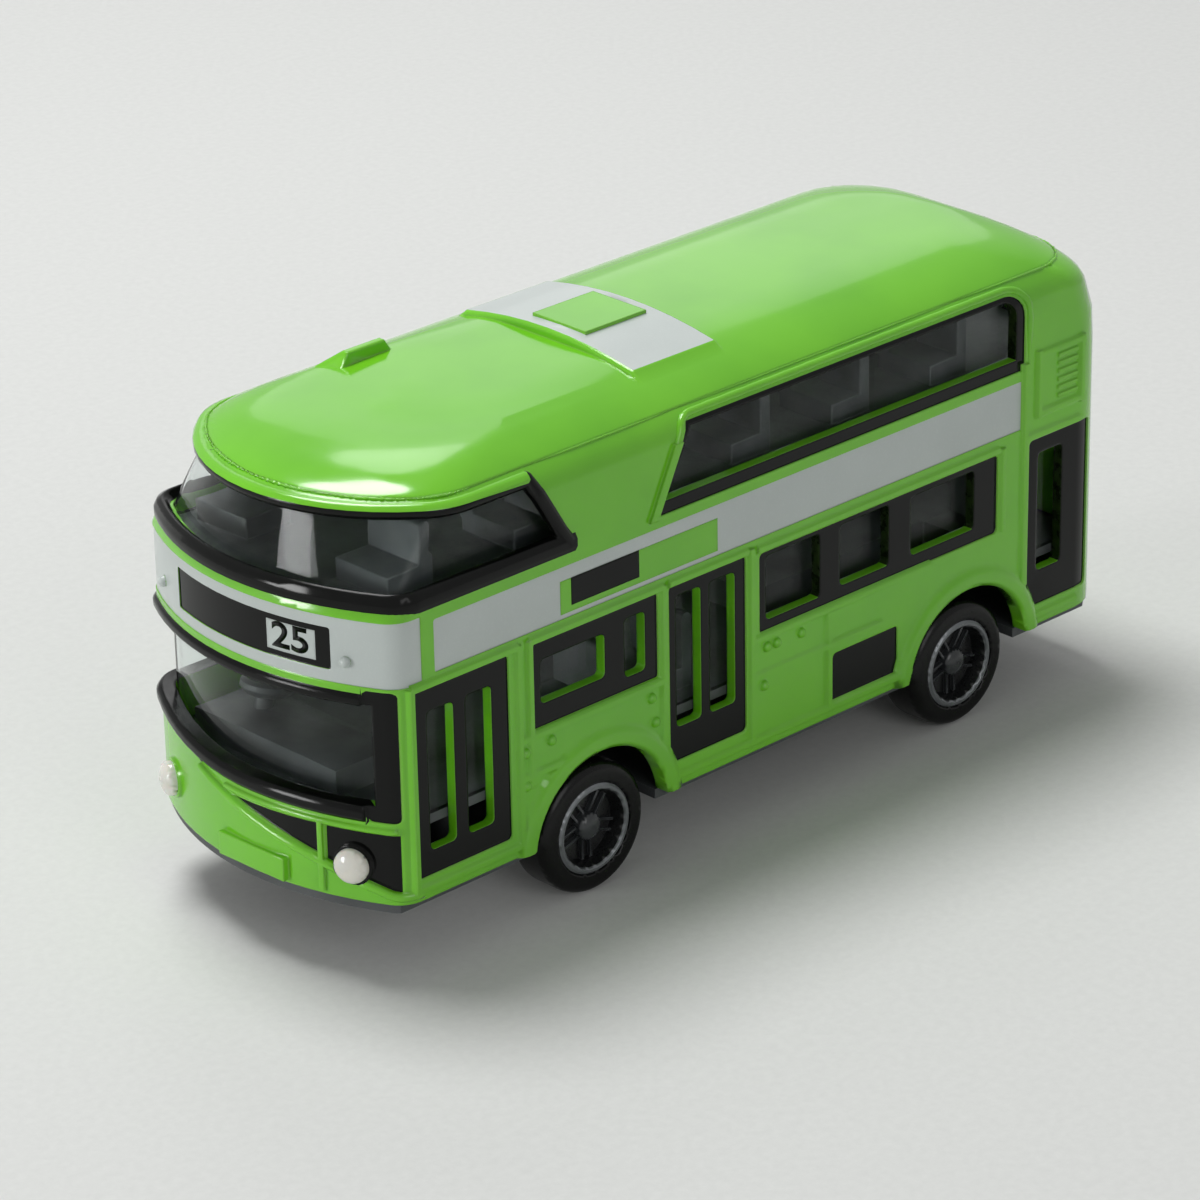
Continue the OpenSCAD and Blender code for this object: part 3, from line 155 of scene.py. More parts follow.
class BusStage(bpy.types.PropertyGroup):
    """Floor and light"""

    floor: bpy.props.StringProperty(
        name="Floor", description="Colour of the floor, as sRGB hex", default="#D9DAD8"
    )
    key_power: bpy.props.FloatProperty(
        name="Key light", description="Power of the soft light overhead", default=5.6, min=0.0, unit="POWER"
    )
    fill_power: bpy.props.FloatProperty(
        name="Fill light",
        description="Power of the soft light on the door side, which the small lights follow",
        default=1.2, min=0.0, unit="POWER"
    )
    sky: bpy.props.FloatProperty(
        name="Ambient", description="Strength of the even light all round",
        default=0.26, min=0.0, subtype="FACTOR"
    )


# Shader nodes

MID = (0.3, 0.7)
WHOLE = (0.0, 1.0)


def linear(code):
    """Linear colour of an sRGB hex code."""
    parts = [int(code[i:i + 2], 16) / 255 for i in (1, 3, 5)]
    return [c / 12.92 if c <= 0.04045 else ((c + 0.055) / 1.055) ** 2.4 for c in parts] + [1.0]


def wire(tree, node, inputs):
    """Fills a node's inputs: a socket is linked, a value is set."""
    for key, value in inputs.items():
        if isinstance(value, bpy.types.NodeSocket):
            tree.links.new(value, node.inputs[key])
        else:
            node.inputs[key].default_value = value


def add(tree, kind, inputs=None, **settings):
    """Adds a node with its settings and links."""
    made = tree.nodes.new(kind)
    for key, value in settings.items():
        setattr(made, key, value)
    wire(tree, made, inputs or {})
    return made


def started(name):
    """A new material with its shader, and the tree that holds it."""
    made = bpy.data.materials.new(name)
    made.use_nodes = True
    tree = made.node_tree
    return made, tree, tree.nodes["Principled BSDF"]


def grain(tree, size, to=WHOLE, part=MID, detail=3.0, rough=0.5, stretch=(1, 1, 1)):
    """Lumps of a size in metres on the piece, with part of their range taken to another."""
    where = add(tree, "ShaderNodeTexCoord").outputs["Object"]
    if stretch != (1, 1, 1):
        where = add(tree, "ShaderNodeMapping", {"Vector": where, "Scale": stretch}).outputs["Vector"]
    lumps = add(tree, "ShaderNodeTexNoise", {
        "Vector": where, "Scale": 1 / size, "Detail": detail, "Roughness": rough,
    })
    return add(tree, "ShaderNodeMapRange", {
        "Value": lumps.outputs["Fac"], "From Min": part[0], "From Max": part[1],
        "To Min": to[0], "To Max": to[1],
    }).outputs["Result"]


def mottled(tree, size, deep, code, part=MID, least=0.0, detail=3.0, rough=0.5):
    """Two tones that drift into each other over a size in metres."""
    share = grain(tree, size, (least, 1.0), part, detail, rough)
    tones = {0: share, 6: linear(deep), 7: linear(code)}
    return add(tree, "ShaderNodeMix", tones, data_type="RGBA").outputs[2]


def speckled(tree, colour, size, code, most, part, detail):
    """Specks of a second colour, of a size in metres, over a colour."""
    share = grain(tree, size, (0.0, most), part, detail)
    tones = {0: share, 6: colour, 7: linear(code)}
    return add(tree, "ShaderNodeMix", tones, data_type="RGBA").outputs[2]


def rubbed(tree, colour, radius, code, most):
    """A second colour on the edges of the shape, over a width in metres: thin lacquer on the body, partly
    painted highlight on the plastic mouldings.
    """
    turned = add(tree, "ShaderNodeBevel", {"Radius": radius}, samples=6).outputs["Normal"]
    plain = add(tree, "ShaderNodeNewGeometry").outputs["Normal"]
    along = add(tree, "ShaderNodeVectorMath", {0: turned, 1: plain}, operation="DOT_PRODUCT")
    edge = add(tree, "ShaderNodeMapRange", {
        "Value": along.outputs["Value"], "From Min": 0.82, "From Max": 0.985, "To Min": most, "To Max": 0.0,
    })
    tones = {0: edge.outputs["Result"], 6: colour, 7: linear(code)}
    return add(tree, "ShaderNodeMix", tones, data_type="RGBA").outputs[2]


def relief(tree, size, height, strength, detail=3.0, rough=0.5, stretch=(1, 1, 1), edge_r=0.0):
    """Normal of low lumps, their size and height in metres, over edges rounded by any radius given."""
    lumps = grain(tree, size, WHOLE, WHOLE, detail, rough, stretch)
    inputs = {"Height": lumps, "Distance": height, "Strength": strength}
    if edge_r:
        inputs["Normal"] = add(tree, "ShaderNodeBevel", {"Radius": edge_r}, samples=6).outputs["Normal"]
    return add(tree, "ShaderNodeBump", inputs).outputs["Normal"]


# Finishes

def lime_lacquer():
    """Thick gloss lacquer: a faint ripple in its reflections, drifting patches of a deeper tone, thin on the
    edges.
    """
    paint, surface = bpy.context.scene.bus_paint, bpy.context.scene.bus_surface
    made, tree, bsdf = started("lime_lacquer")
    colour = mottled(tree, 14 * MM, paint.lacquer_deep, paint.lacquer, (0.3, 0.62), 0.55)
    colour = rubbed(tree, colour, surface.edge_r, paint.lacquer_thin, 0.5)
    colour = speckled(tree, colour, 0.35 * MM, paint.lacquer_deep, 0.35, (0.70, 0.80), 2.0)
    wire(tree, bsdf, {
        "Base Color": colour, "Roughness": grain(tree, 5 * MM, (0.12, 0.19)),
        "Normal": relief(tree, surface.peel, 0.03 * MM, 0.22, 2.0, 0.45, edge_r=surface.edge_r),
        "Coat Weight": 0.25, "Coat Roughness": 0.05, "Specular IOR Level": 0.5,
    })
    return made


def dim_overspray():
    """Painted shade on the forward-facing window reveals: lacquer mottled towards black, patchy and less
    glossy.
    """
    paint, surface = bpy.context.scene.bus_paint, bpy.context.scene.bus_surface
    made, tree, bsdf = started("dim_overspray")
    drift = 1.2 * MM
    wire(tree, bsdf, {
        "Base Color": mottled(tree, drift, paint.ink, paint.lacquer_dim, (0.3, 0.75), 0.0, 4.0, 0.6),
        "Roughness": grain(tree, drift, (0.22, 0.36), MID, 4.0, 0.6),
        "Normal": relief(tree, drift, 0.02 * MM, 0.15, 4.0, 0.6, edge_r=surface.edge_r),
        "Specular IOR Level": 0.2,
    })
    return made


def black_print():
    """Gloss black ink laid over the lacquer: even, with fine dust and faint unevenness at its surface."""
    paint, surface = bpy.context.scene.bus_paint, bpy.context.scene.bus_surface
    made, tree, bsdf = started("gloss_black_print")
    cloud = mottled(tree, 6 * MM, paint.ink, "#0A0B0A")
    wire(tree, bsdf, {
        "Base Color": speckled(tree, cloud, 0.3 * MM, "#1E201E", 0.25, (0.70, 0.82), 2.0),
        "Roughness": grain(tree, 2.2 * MM, (0.08, 0.16)),
        "Normal": relief(tree, 1.1 * MM, 0.02 * MM, 0.12, 2.0, edge_r=surface.edge_r),
        "Specular IOR Level": 0.2,
    })
    return made


def pale_print():
    """Pale silver-white ink: a fine metallic flake and slightly uneven cover."""
    paint, surface = bpy.context.scene.bus_paint, bpy.context.scene.bus_surface
    made, tree, bsdf = started("pale_silver_print")
    cover = mottled(tree, 9 * MM, "#B5BDBA", paint.pale_ink, (0.25, 0.75), 0.0, 4.0)
    # Real flake is about 0.02 mm: it is drawn coarser so that it shows
    wire(tree, bsdf, {
        "Base Color": speckled(tree, cover, 0.25 * MM, "#D3DAD7", 0.12, (0.55, 0.75), 1.0),
        "Roughness": grain(tree, 2.5 * MM, (0.30, 0.35)),
        "Normal": relief(tree, 1.4 * MM, 0.02 * MM, 0.08, 2.0, edge_r=surface.edge_r),
        "Coat Weight": 0.3, "Coat Roughness": 0.1,
    })
    return made


def red_print():
    """Red ink on the tail lamps: darker towards patches of thicker ink."""
    paint, surface = bpy.context.scene.bus_paint, bpy.context.scene.bus_surface
    made, tree, bsdf = started("red_lamp_print")
    wire(tree, bsdf, {
        "Base Color": mottled(tree, 1.5 * MM, "#7D0E0B", paint.lamp_red),
        "Roughness": grain(tree, 1 * MM, (0.2, 0.32)),
        "Normal": relief(tree, 0.8 * MM, 0.02 * MM, 0.2, edge_r=surface.edge_r),
        "Coat Weight": 0.3,
    })
    return made


def clear_polystyrene():
    """Clear moulded window plastic: flow ripples bend the reflections a little, lamps shine through."""
    made, tree, bsdf = started("clear_polystyrene")
    wire(tree, bsdf, {
        "Base Color": linear("#F1F5F4"), "Roughness": grain(tree, 3 * MM, (0.0, 0.03), MID, 4.0),
        "IOR": 1.2, "Transmission Weight": 1.0,
        "Normal": relief(tree, 7 * MM, 0.06 * MM, 0.25, 2.0, 0.5, (1, 1, 2.5)),
    })
    open_path = add(tree, "ShaderNodeBsdfTransparent", {"Color": linear("#C4CBC9")})
    shadow = add(tree, "ShaderNodeLightPath").outputs["Is Shadow Ray"]
    mix = add(tree, "ShaderNodeMixShader", {
        0: shadow, 1: bsdf.outputs["BSDF"], 2: open_path.outputs["BSDF"],
    })
    wire(tree, tree.nodes["Material Output"], {"Surface": mix.outputs["Shader"]})
    return made


def moulded(name, code, deep, pale, low, high, pit=0.28 * MM):
    """Moulded plastic: a fine spark-eroded grain, a slow drift of tone and pale edges, partly rubbed and
    partly painted highlight.
    """
    made, tree, bsdf = started(name)
    drift = mottled(tree, 8 * MM, deep, code, (0.3, 0.66), 0.0, 4.0)
    # Real pits are about 0.05 mm: they are drawn coarser so that they show
    wire(tree, bsdf, {
        "Base Color": rubbed(tree, drift, 0.15 * MM, pale, 0.6),
        "Roughness": grain(tree, pit, (low, high), MID, 3.0, 0.6),
        "Normal": relief(tree, pit, 0.03 * MM, 0.35, 3.0, 0.6),
    })
    return made


def bright_steel(name, code, deep, along):
    """Drawn steel: fine lines along the rod and a little dulling."""
    made, tree, bsdf = started(name)
    stretch = {"x": (0.04, 1, 1), "y": (1, 0.04, 1), "z": (1, 1, 0.04)}[along]
    # Real draw lines are about 0.01 mm: they are drawn coarser so that they show
    line = 0.08 * MM
    wire(tree, bsdf, {
        "Base Color": mottled(tree, 2 * MM, deep, code), "Metallic": 1.0,
        "Roughness": grain(tree, line, (0.2, 0.38), MID, 3.0, 0.6, stretch),
        "Normal": relief(tree, line, 0.01 * MM, 0.3, 3.0, 0.6, stretch),
    })
    return made


def tyre_rubber():
    """Moulded rubber: dark satin, faintly dusty, with a fine pebble that breaks up the highlights."""
    mouldings = bpy.context.scene.bus_mouldings
    made, tree, bsdf = started("tyre_rubber")
    tone = mottled(tree, 2.5 * MM, mouldings.rubber, "#0F0F0F", (0.32, 0.72), 0.0, 5.0)
    # Real pebble is about 0.1 mm: it is drawn coarser so that it shows
    pebble = 0.22 * MM
    wire(tree, bsdf, {
        "Base Color": speckled(tree, tone, 0.5 * MM, "#1F1F1E", 0.2, (0.62, 0.78), 3.0),
        "Roughness": grain(tree, pebble, (0.18, 0.28), MID, 2.0),
        "Normal": relief(tree, pebble, 0.02 * MM, 0.12, 2.0),
        "Specular IOR Level": 0.22,
    })
    return made


def lamp_plastic():
    """Glossy off-white plastic, slightly milky under its surface."""
    made, tree, bsdf = started("milky_lamp_plastic")
    wire(tree, bsdf, {
        "Base Color": mottled(tree, 1.8 * MM, "#DAD8CE", bpy.context.scene.bus_mouldings.lamp),
        "Roughness": grain(tree, 0.9 * MM, (0.16, 0.28)),
        "Normal": relief(tree, 0.8 * MM, 0.02 * MM, 0.2),
        "Subsurface Weight": 0.15, "Subsurface Scale": 0.4 * MM, "Coat Weight": 0.4, "Coat Roughness": 0.08,
    })
    return made


def rim_foil():
    """Hot-stamped silver foil on the hub's rim: an even satin grey, soft highlights and faint scuffs."""
    made, tree, bsdf = started("rim_foil")
    scuff = 1.6 * MM
    wire(tree, bsdf, {
        "Base Color": mottled(tree, scuff, "#717477", "#7E8184", MID, 0.0, 2.0, 0.4), "Metallic": 0.6,
        "Roughness": grain(tree, scuff, (0.30, 0.36), MID, 2.0, 0.4),
        "Normal": relief(tree, scuff, 0.01 * MM, 0.1, 2.0, 0.4),
    })
    return made


BACKDROP, BACKDROP_LEVEL = "#F2F3F2", 0.6
FLOOR_FADE = (0.4, 0.85)


def looked_at(tree):
    """1 for a ray that shows the background: to the camera, by a mirror or through glass."""
    path = add(tree, "ShaderNodeLightPath")
    seen = path.outputs["Is Camera Ray"]
    for kind in ("Is Glossy Ray", "Is Transmission Ray"):
        seen = add(tree, "ShaderNodeMath", {0: seen, 1: path.outputs[kind]}, operation="MAXIMUM").outputs[0]
    return seen


def studio_floor():
    """Plain pale paper: an even tone with a trace of fibre, which runs into the backdrop far away."""
    stage = bpy.context.scene.bus_stage
    made, tree, bsdf = started("studio_paper")
    fibre = 1.2 * MM
    wire(tree, bsdf, {
        "Base Color": mottled(tree, fibre, "#D3D4D2", stage.floor, MID, 0.0, 4.0, 0.6),
        "Roughness": grain(tree, fibre, (0.75, 0.9), MID, 4.0, 0.6),
    })
    where = add(tree, "ShaderNodeTexCoord").outputs["Object"]
    far = add(tree, "ShaderNodeVectorMath", {0: where}, operation="LENGTH").outputs["Value"]
    away = add(tree, "ShaderNodeMapRange", {
        "Value": far, "From Min": FLOOR_FADE[0], "From Max": FLOOR_FADE[1],
    }).outputs["Result"]
    share = add(tree, "ShaderNodeMath", {0: away, 1: looked_at(tree)}, operation="MULTIPLY").outputs[0]
    plain = add(tree, "ShaderNodeEmission", {"Color": linear(BACKDROP), "Strength": BACKDROP_LEVEL})
    mixed = add(tree, "ShaderNodeMixShader", {0: share, 1: bsdf.outputs[0], 2: plain.outputs[0]})
    wire(tree, tree.nodes["Material Output"], {"Surface": mixed.outputs[0]})
    return made


FINISHES = {}


def finish_of(name):
    """The named finish, made once."""
    colours = bpy.context.scene.bus_mouldings
    fine_pit = 0.2 * MM
    makers = {
        "lacquer": lime_lacquer,
        "painted_shade": dim_overspray,
        "black": black_print,
        "pale": pale_print,
        "red": red_print,
        "clear": clear_polystyrene,
        # The pale edge colours below are partly painted highlight, standing in for light caught on seat and
        # rib edges
        "interior": lambda: moulded("grey_deck_plastic", colours.interior, "#282A2B", "#7C8182", 0.40, 0.56),
        "base": lambda: moulded("dark_base_plastic", colours.base, "#3C3F41", "#6A6D6F", 0.42, 0.60),
        "hub": lambda: moulded("grey_hub_plastic", colours.hub, "#2C2E30", "#6A6D70", 0.18, 0.28, fine_pit),
        "dish": lambda: moulded("dark_dish_paint", "#141516", "#0D0E0F", "#2E3032", 0.24, 0.40, fine_pit),
        "case": lambda: moulded("black_case_plastic", "#222426", "#17191A", "#46494B", 0.40, 0.58),
        "gear": lambda: moulded("white_gear_acetal", "#E4E2D8", "#D2D0C5", "#F3F2EA", 0.30, 0.45, fine_pit),
        "rod": lambda: bright_steel("drawn_axle_steel", "#B9BCBF", "#8E9194", "y"),
        "screw": lambda: bright_steel("plated_screw_steel", "#B4B6B2", "#8B8D88", "z"),
        "spring": lambda: bright_steel("blued_spring_steel", "#6F7A86", "#4A535E", "y"),
        "rubber": tyre_rubber,
        "lamp": lamp_plastic,
        "foil": rim_foil,
    }
    if name not in FINISHES:
        FINISHES[name] = makers[name]()
    return FINISHES[name]


# Meshes

def only(piece):
    """Makes one object the selected and active one."""
    bpy.ops.object.select_all(action="DESELECT")
    piece.select_set(True)
    bpy.context.view_layer.objects.active = piece


def applied(piece, kind, **settings):
    """Adds a modifier and applies it."""
    only(piece)
    made = piece.modifiers.new(kind.title(), kind)
    for key, value in settings.items():
        setattr(made, key, value)
    bpy.ops.object.modifier_apply(modifier=made.name)


def dressed(node, name, finishes, zone=None, angle=38.0):
    """Copies a CAD node, merges its loose triangles, gives each face its finish and smooths it."""
    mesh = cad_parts[node].data.copy()
    mesh.name = name
    piece = bpy.data.objects.new(name, mesh)
    bpy.context.scene.collection.objects.link(piece)
    only(piece)
    bpy.ops.object.mode_set(mode="EDIT")
    bpy.ops.mesh.select_all(action="SELECT")
    bpy.ops.mesh.remove_doubles(threshold=0.002 * MM)
    bpy.ops.object.mode_set(mode="OBJECT")
    mesh.materials.clear()
    for finish in finishes:
        mesh.materials.append(finish_of(finish))
    for face in mesh.polygons:
        face.material_index = zone(face.center / MM, face.normal) if zone else 0
    bpy.ops.object.mode_set(mode="EDIT")
    bpy.ops.mesh.select_all(action="SELECT")
    bpy.ops.mesh.dissolve_limited(angle_limit=math.radians(0.4), delimit={"MATERIAL"})
    bpy.ops.object.mode_set(mode="OBJECT")
    bpy.ops.object.shade_smooth_by_angle(angle=math.radians(angle))
    applied(piece, "WEIGHTED_NORMAL", keep_sharp=True, weight=80)
    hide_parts(node)
    return piece


def settled(piece, body):
    """Lets a piece ride on its body."""
    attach(piece, body)
    return piece


# Shape of the cast body, in millimetres

def eased(share, reach):
    """How far a rounded edge has come in at a share of its rise."""
    return 0.0 if share <= 0 else reach * (1 - math.sqrt(1 - min(share, 1) ** 2))


def side_in(z):
    """How far the side has come in at a height."""
    return eased((z - SHOULDER_Z) / (CROWN_Z - SHOULDER_Z), SHOULDER_IN)


def depth_in(x, y, z):
    """Depth of a point inside the body's plan at its height; below zero stands proud."""
    lean = max(0.0, min(z, EAVE_Z) - BELT_Z) / (EAVE_Z - BELT_Z)
    width = HALF_W - side_in(z)
    front = HALF_L - SCREEN_LEAN * lean - eased((z - DOME_Z) / (CROWN_Z - DOME_Z), DOME_IN)
    rear = -HALF_L + eased((z - TAIL_Z) / (CROWN_Z - TAIL_Z), TAIL_IN)
    bow = NOSE_R + (EAVE_NOSE_R - NOSE_R) * lean
    corner = CORNER_R + CORNER_GROWTH * lean + CORNER_SPREAD * side_in(z)
    rear_corner = REAR_CORNER_R + REAR_CORNER_SPREAD * side_in(z)
    across, centre = abs(y), front - bow
    corner_y = width - corner
    corner_x = centre + math.sqrt(max((bow - corner) ** 2 - corner_y ** 2, 0.0))
    on_nose = x > centre and math.atan2(across, x - centre) <= math.atan2(corner_y, corner_x - centre)
    if on_nose and x > corner_x - 8:
        return bow - math.hypot(x - centre, y)
    if x > corner_x and across > corner_y:
        return corner - math.hypot(x - corner_x, across - corner_y)
    if x < rear + rear_corner:
        if across > width - rear_corner:
            return rear_corner - math.hypot(x - rear - rear_corner, across - width + rear_corner)
        return min(x - rear, width - across)
    return width - across


def outward(x, y, z):
    """Direction away from the body's wall at a point."""
    step = 0.02
    slope = Vector((
        depth_in(x - step, y, z) - depth_in(x + step, y, z),
        depth_in(x, y - step, z) - depth_in(x, y + step, z),
        depth_in(x, y, z - step) - depth_in(x, y, z + step),
    ))
    return slope.normalized()


def faired(piece):
    """Turns the normals of faces that lie along the curved wall to the true curve."""
    mesh = piece.data
    normals = [corner.vector.copy() for corner in mesh.corner_normals]
    for face in mesh.polygons:
        for k in face.loop_indices:
            away = outward(*(mesh.vertices[mesh.loops[k].vertex_index].co / MM))
            if face.normal.dot(away) > 0.985:
                normals[k] = away
    mesh.normals_split_custom_set(normals)


def within(value, limits):
    """True between two limits."""
    return limits[0] < value < limits[1]


def on_bar(depth, z, bar_depth, bar_z, deep, tall):
    """True on the surface of a rounded bar along the wall."""
    return 0.84 < math.hypot((depth - bar_depth) / deep, (z - bar_z) / tall) < 1.07


def off_line(p, a, b):
    """Distance of a point from a line between two points."""
    a, b = Vector(a), Vector(b)
    t = max(0.0, min(1.0, (p - a).dot(b - a) / (b - a).length_squared))
    return (p - a - t * (b - a)).length


def on_lower_screen_rim(y, z, depth):
    """True on the head, the swept foot with its ledge, and the near end of the lower screen's rim."""
    sweep = FOOT_Z + FOOT_RISE * max(0.0, (2 - y) / FOOT_REACH) ** 2
    end = y > SCREEN_END_Y and 19.5 < z < 34.6 and depth < 0.3
    ledge = depth < 1.7 and abs(z - sweep - 0.95) < 0.4
    foot = on_bar(depth, z, FOOT_DEPTH, sweep, FOOT_R, FOOT_R)
    return end or ledge or foot or on_bar(depth, z, *HEAD_RIM)


def on_rim(p):
    """True on the black rims: belt, under the eaves, windscreen posts and round the lower screen."""
    x, y, z = p
    if x > BELT_FROM_X and z > 43.5 and on_bar(depth_in(x, y, BELT_RIM[1]), z, *BELT_RIM):
        return z > 44.05 or depth_in(x, y, 43.0) < -0.05
    if x > EAVE_FROM_X and on_bar(depth_in(x, y, EAVE_RIM[1]), z, *EAVE_RIM):
        return z < EAVE_RIM[1] + 0.1
    side = Vector((x, abs(y), z))
    by_post = any(off_line(side, a, b) < POST_R for a, b in zip(SCREEN_POST, SCREEN_POST[1:]))
    if by_post and 28 < x < 36.5 and z > 44:
        return depth_in(x, y, z) < 1.2
    if x > SCREEN_FROM_X and y < 17.2 and z < 36:
        return on_lower_screen_rim(y, z, depth_in(x, y, 30.0))
    return False


def body_zone(p, normal):
    """Finish of a face of the body: 0 lacquer, 1 black print, 2 pale print, 3 red print, 4 painted shade."""
    x, y, z = p
    depth, front = depth_in(x, y, z), x > 50
    on_tail_lamp = abs(abs(y) - TAIL_LAMP_Y) < TAIL_LAMP_R and within(z, TAIL_LAMP_RANGE)
    if on_rim(p):
        return 1
    if on_tail_lamp and x < TAIL_LAMP_X and normal.x < -0.5:
        return 3
    if front and y > 13.3 and math.hypot(y - LAMP_Y, z - LAMP_Z) < LAMP_BOSS_R and depth < 0.3:
        return 1
    if front and math.hypot(abs(y) - LAMP_Y, z - RIVET_Z) < RIVET_R and depth < 0.08:
        return 2
    # Painted shade: the forward-facing jambs of the windows get a nearly black lacquer
    reveal = abs(y) > 17 and within(depth, REVEAL_DEPTH) and normal.x > 0.6 and x < 1
    if reveal and (z > BELT_Z or within(z, LOW_WINDOW_RANGE) or x < REAR_WINDOW_X):
        return 4
    if normal.dot(outward(x, y, z)) < 0.9:
        return 0
    if within(depth, BLACK_DEPTH):
        return 1
    return 2 if within(depth, PALE_DEPTH) and 35.0 < z < BELT_Z else 0


def roof_zone(p, normal):
    """Finish of a face of the roof: the hump's top is pale, its hatch and the rest are lacquer."""
    x, y, z = abs(p[0] - HUMP_X), abs(p[1]), p[2]
    top = x < HUMP_HALF_L and y < HUMP_HALF_W and normal.z > 0.93 and z > HUMP_FOOT_Z
    hatch = x < HATCH_HALF_L and y < HATCH_HALF_W and z > HATCH_Z
    return 1 if top and not hatch else 0


def hub_zone(p, normal):
    """Finish of a face of a hub: a dark dish, a foil rim, and the plain boss and ribs."""
    x, y, z = p
    r = math.hypot(x - (FRONT_AXLE if x > 0 else REAR_AXLE), z - AXLE_Z)
    back = WHEEL_FACE_Y - abs(y)
    if back < 0.35 and r > HUB_LIP_R:
        return 1
    if HUB_BOSS_R < r < HUB_DISH_R and 1.6 < back < 2.1 and abs(normal.y) > 0.6:
        return 2 if back > 1.9 else 1
    return 2 if 0.3 < back < 2.1 and r > 4.0 else 0


# Operators

class BUS_OT_body(bpy.types.Operator):
    """Cast body and roof in lacquer and print, with the ragged flash along their seam"""

    bl_idname = "bus.body"
    bl_label = "Body and Roof"

    def execute(self, context):
        finishes = ["lacquer", "black", "pale", "red", "painted_shade"]
        body = dressed("body_shell", "lacquered_body", finishes, body_zone)
        faired(body)
        settled(body, "body")
        roof = dressed("roof", "lacquered_roof", ["lacquer", "pale"], roof_zone, 32.0)
        faired(roof)
        settled(roof, "body")
        self.flash(context, roof)
        return {"FINISHED"}

    def flash(self, context, roof):
        """Thin ragged line of flash that the closing dies leave along the seam."""
        line = bpy.data.objects.new("seam_flash", roof.data.copy())
        context.scene.collection.objects.link(line)
        only(line)
        context.tool_settings.mesh_select_mode = (False, True, False)
        bpy.ops.object.mode_set(mode="EDIT")
        bpy.ops.mesh.select_all(action="DESELECT")
        bpy.ops.object.mode_set(mode="OBJECT")
        for edge in line.data.edges:
            ends = [line.data.vertices[i].co / MM for i in edge.vertices]
            edge.select = all(abs(p.z - SEAM_Z) < 0.02 and depth_in(*p) < 0.3 for p in ends)
        bpy.ops.object.mode_set(mode="EDIT")
        bpy.ops.mesh.select_all(action="INVERT")
        bpy.ops.mesh.delete(type="EDGE")
        bpy.ops.mesh.select_all(action="SELECT")
        bpy.ops.mesh.subdivide(number_cuts=11, smoothness=0)
        bpy.ops.object.mode_set(mode="OBJECT")
        bpy.ops.object.convert(target="CURVE")
        line = context.active_object
        curve = line.data
        curve.bevel_depth = context.scene.bus_surface.flash
        curve.bevel_resolution = 2
        for spline in curve.splines:
            # Slow and fast waves make the flash uneven, the same on each run
            for k, point in enumerate(spline.points):
                ragged = 0.35 * math.sin(k * 1.7) * math.sin(k * 0.37)
                point.radius = 0.55 + ragged + 0.2 * math.sin(k * 0.11)
        bpy.ops.object.convert(target="MESH")
        line = context.active_object
        line.name = line.data.name = "seam_flash"
        line.data.materials.clear()
        line.data.materials.append(finish_of("lacquer"))
        bpy.ops.object.shade_smooth()
        if not line.data.polygons:
            raise RuntimeError("the seam flash has no faces")
        settled(line, "body")


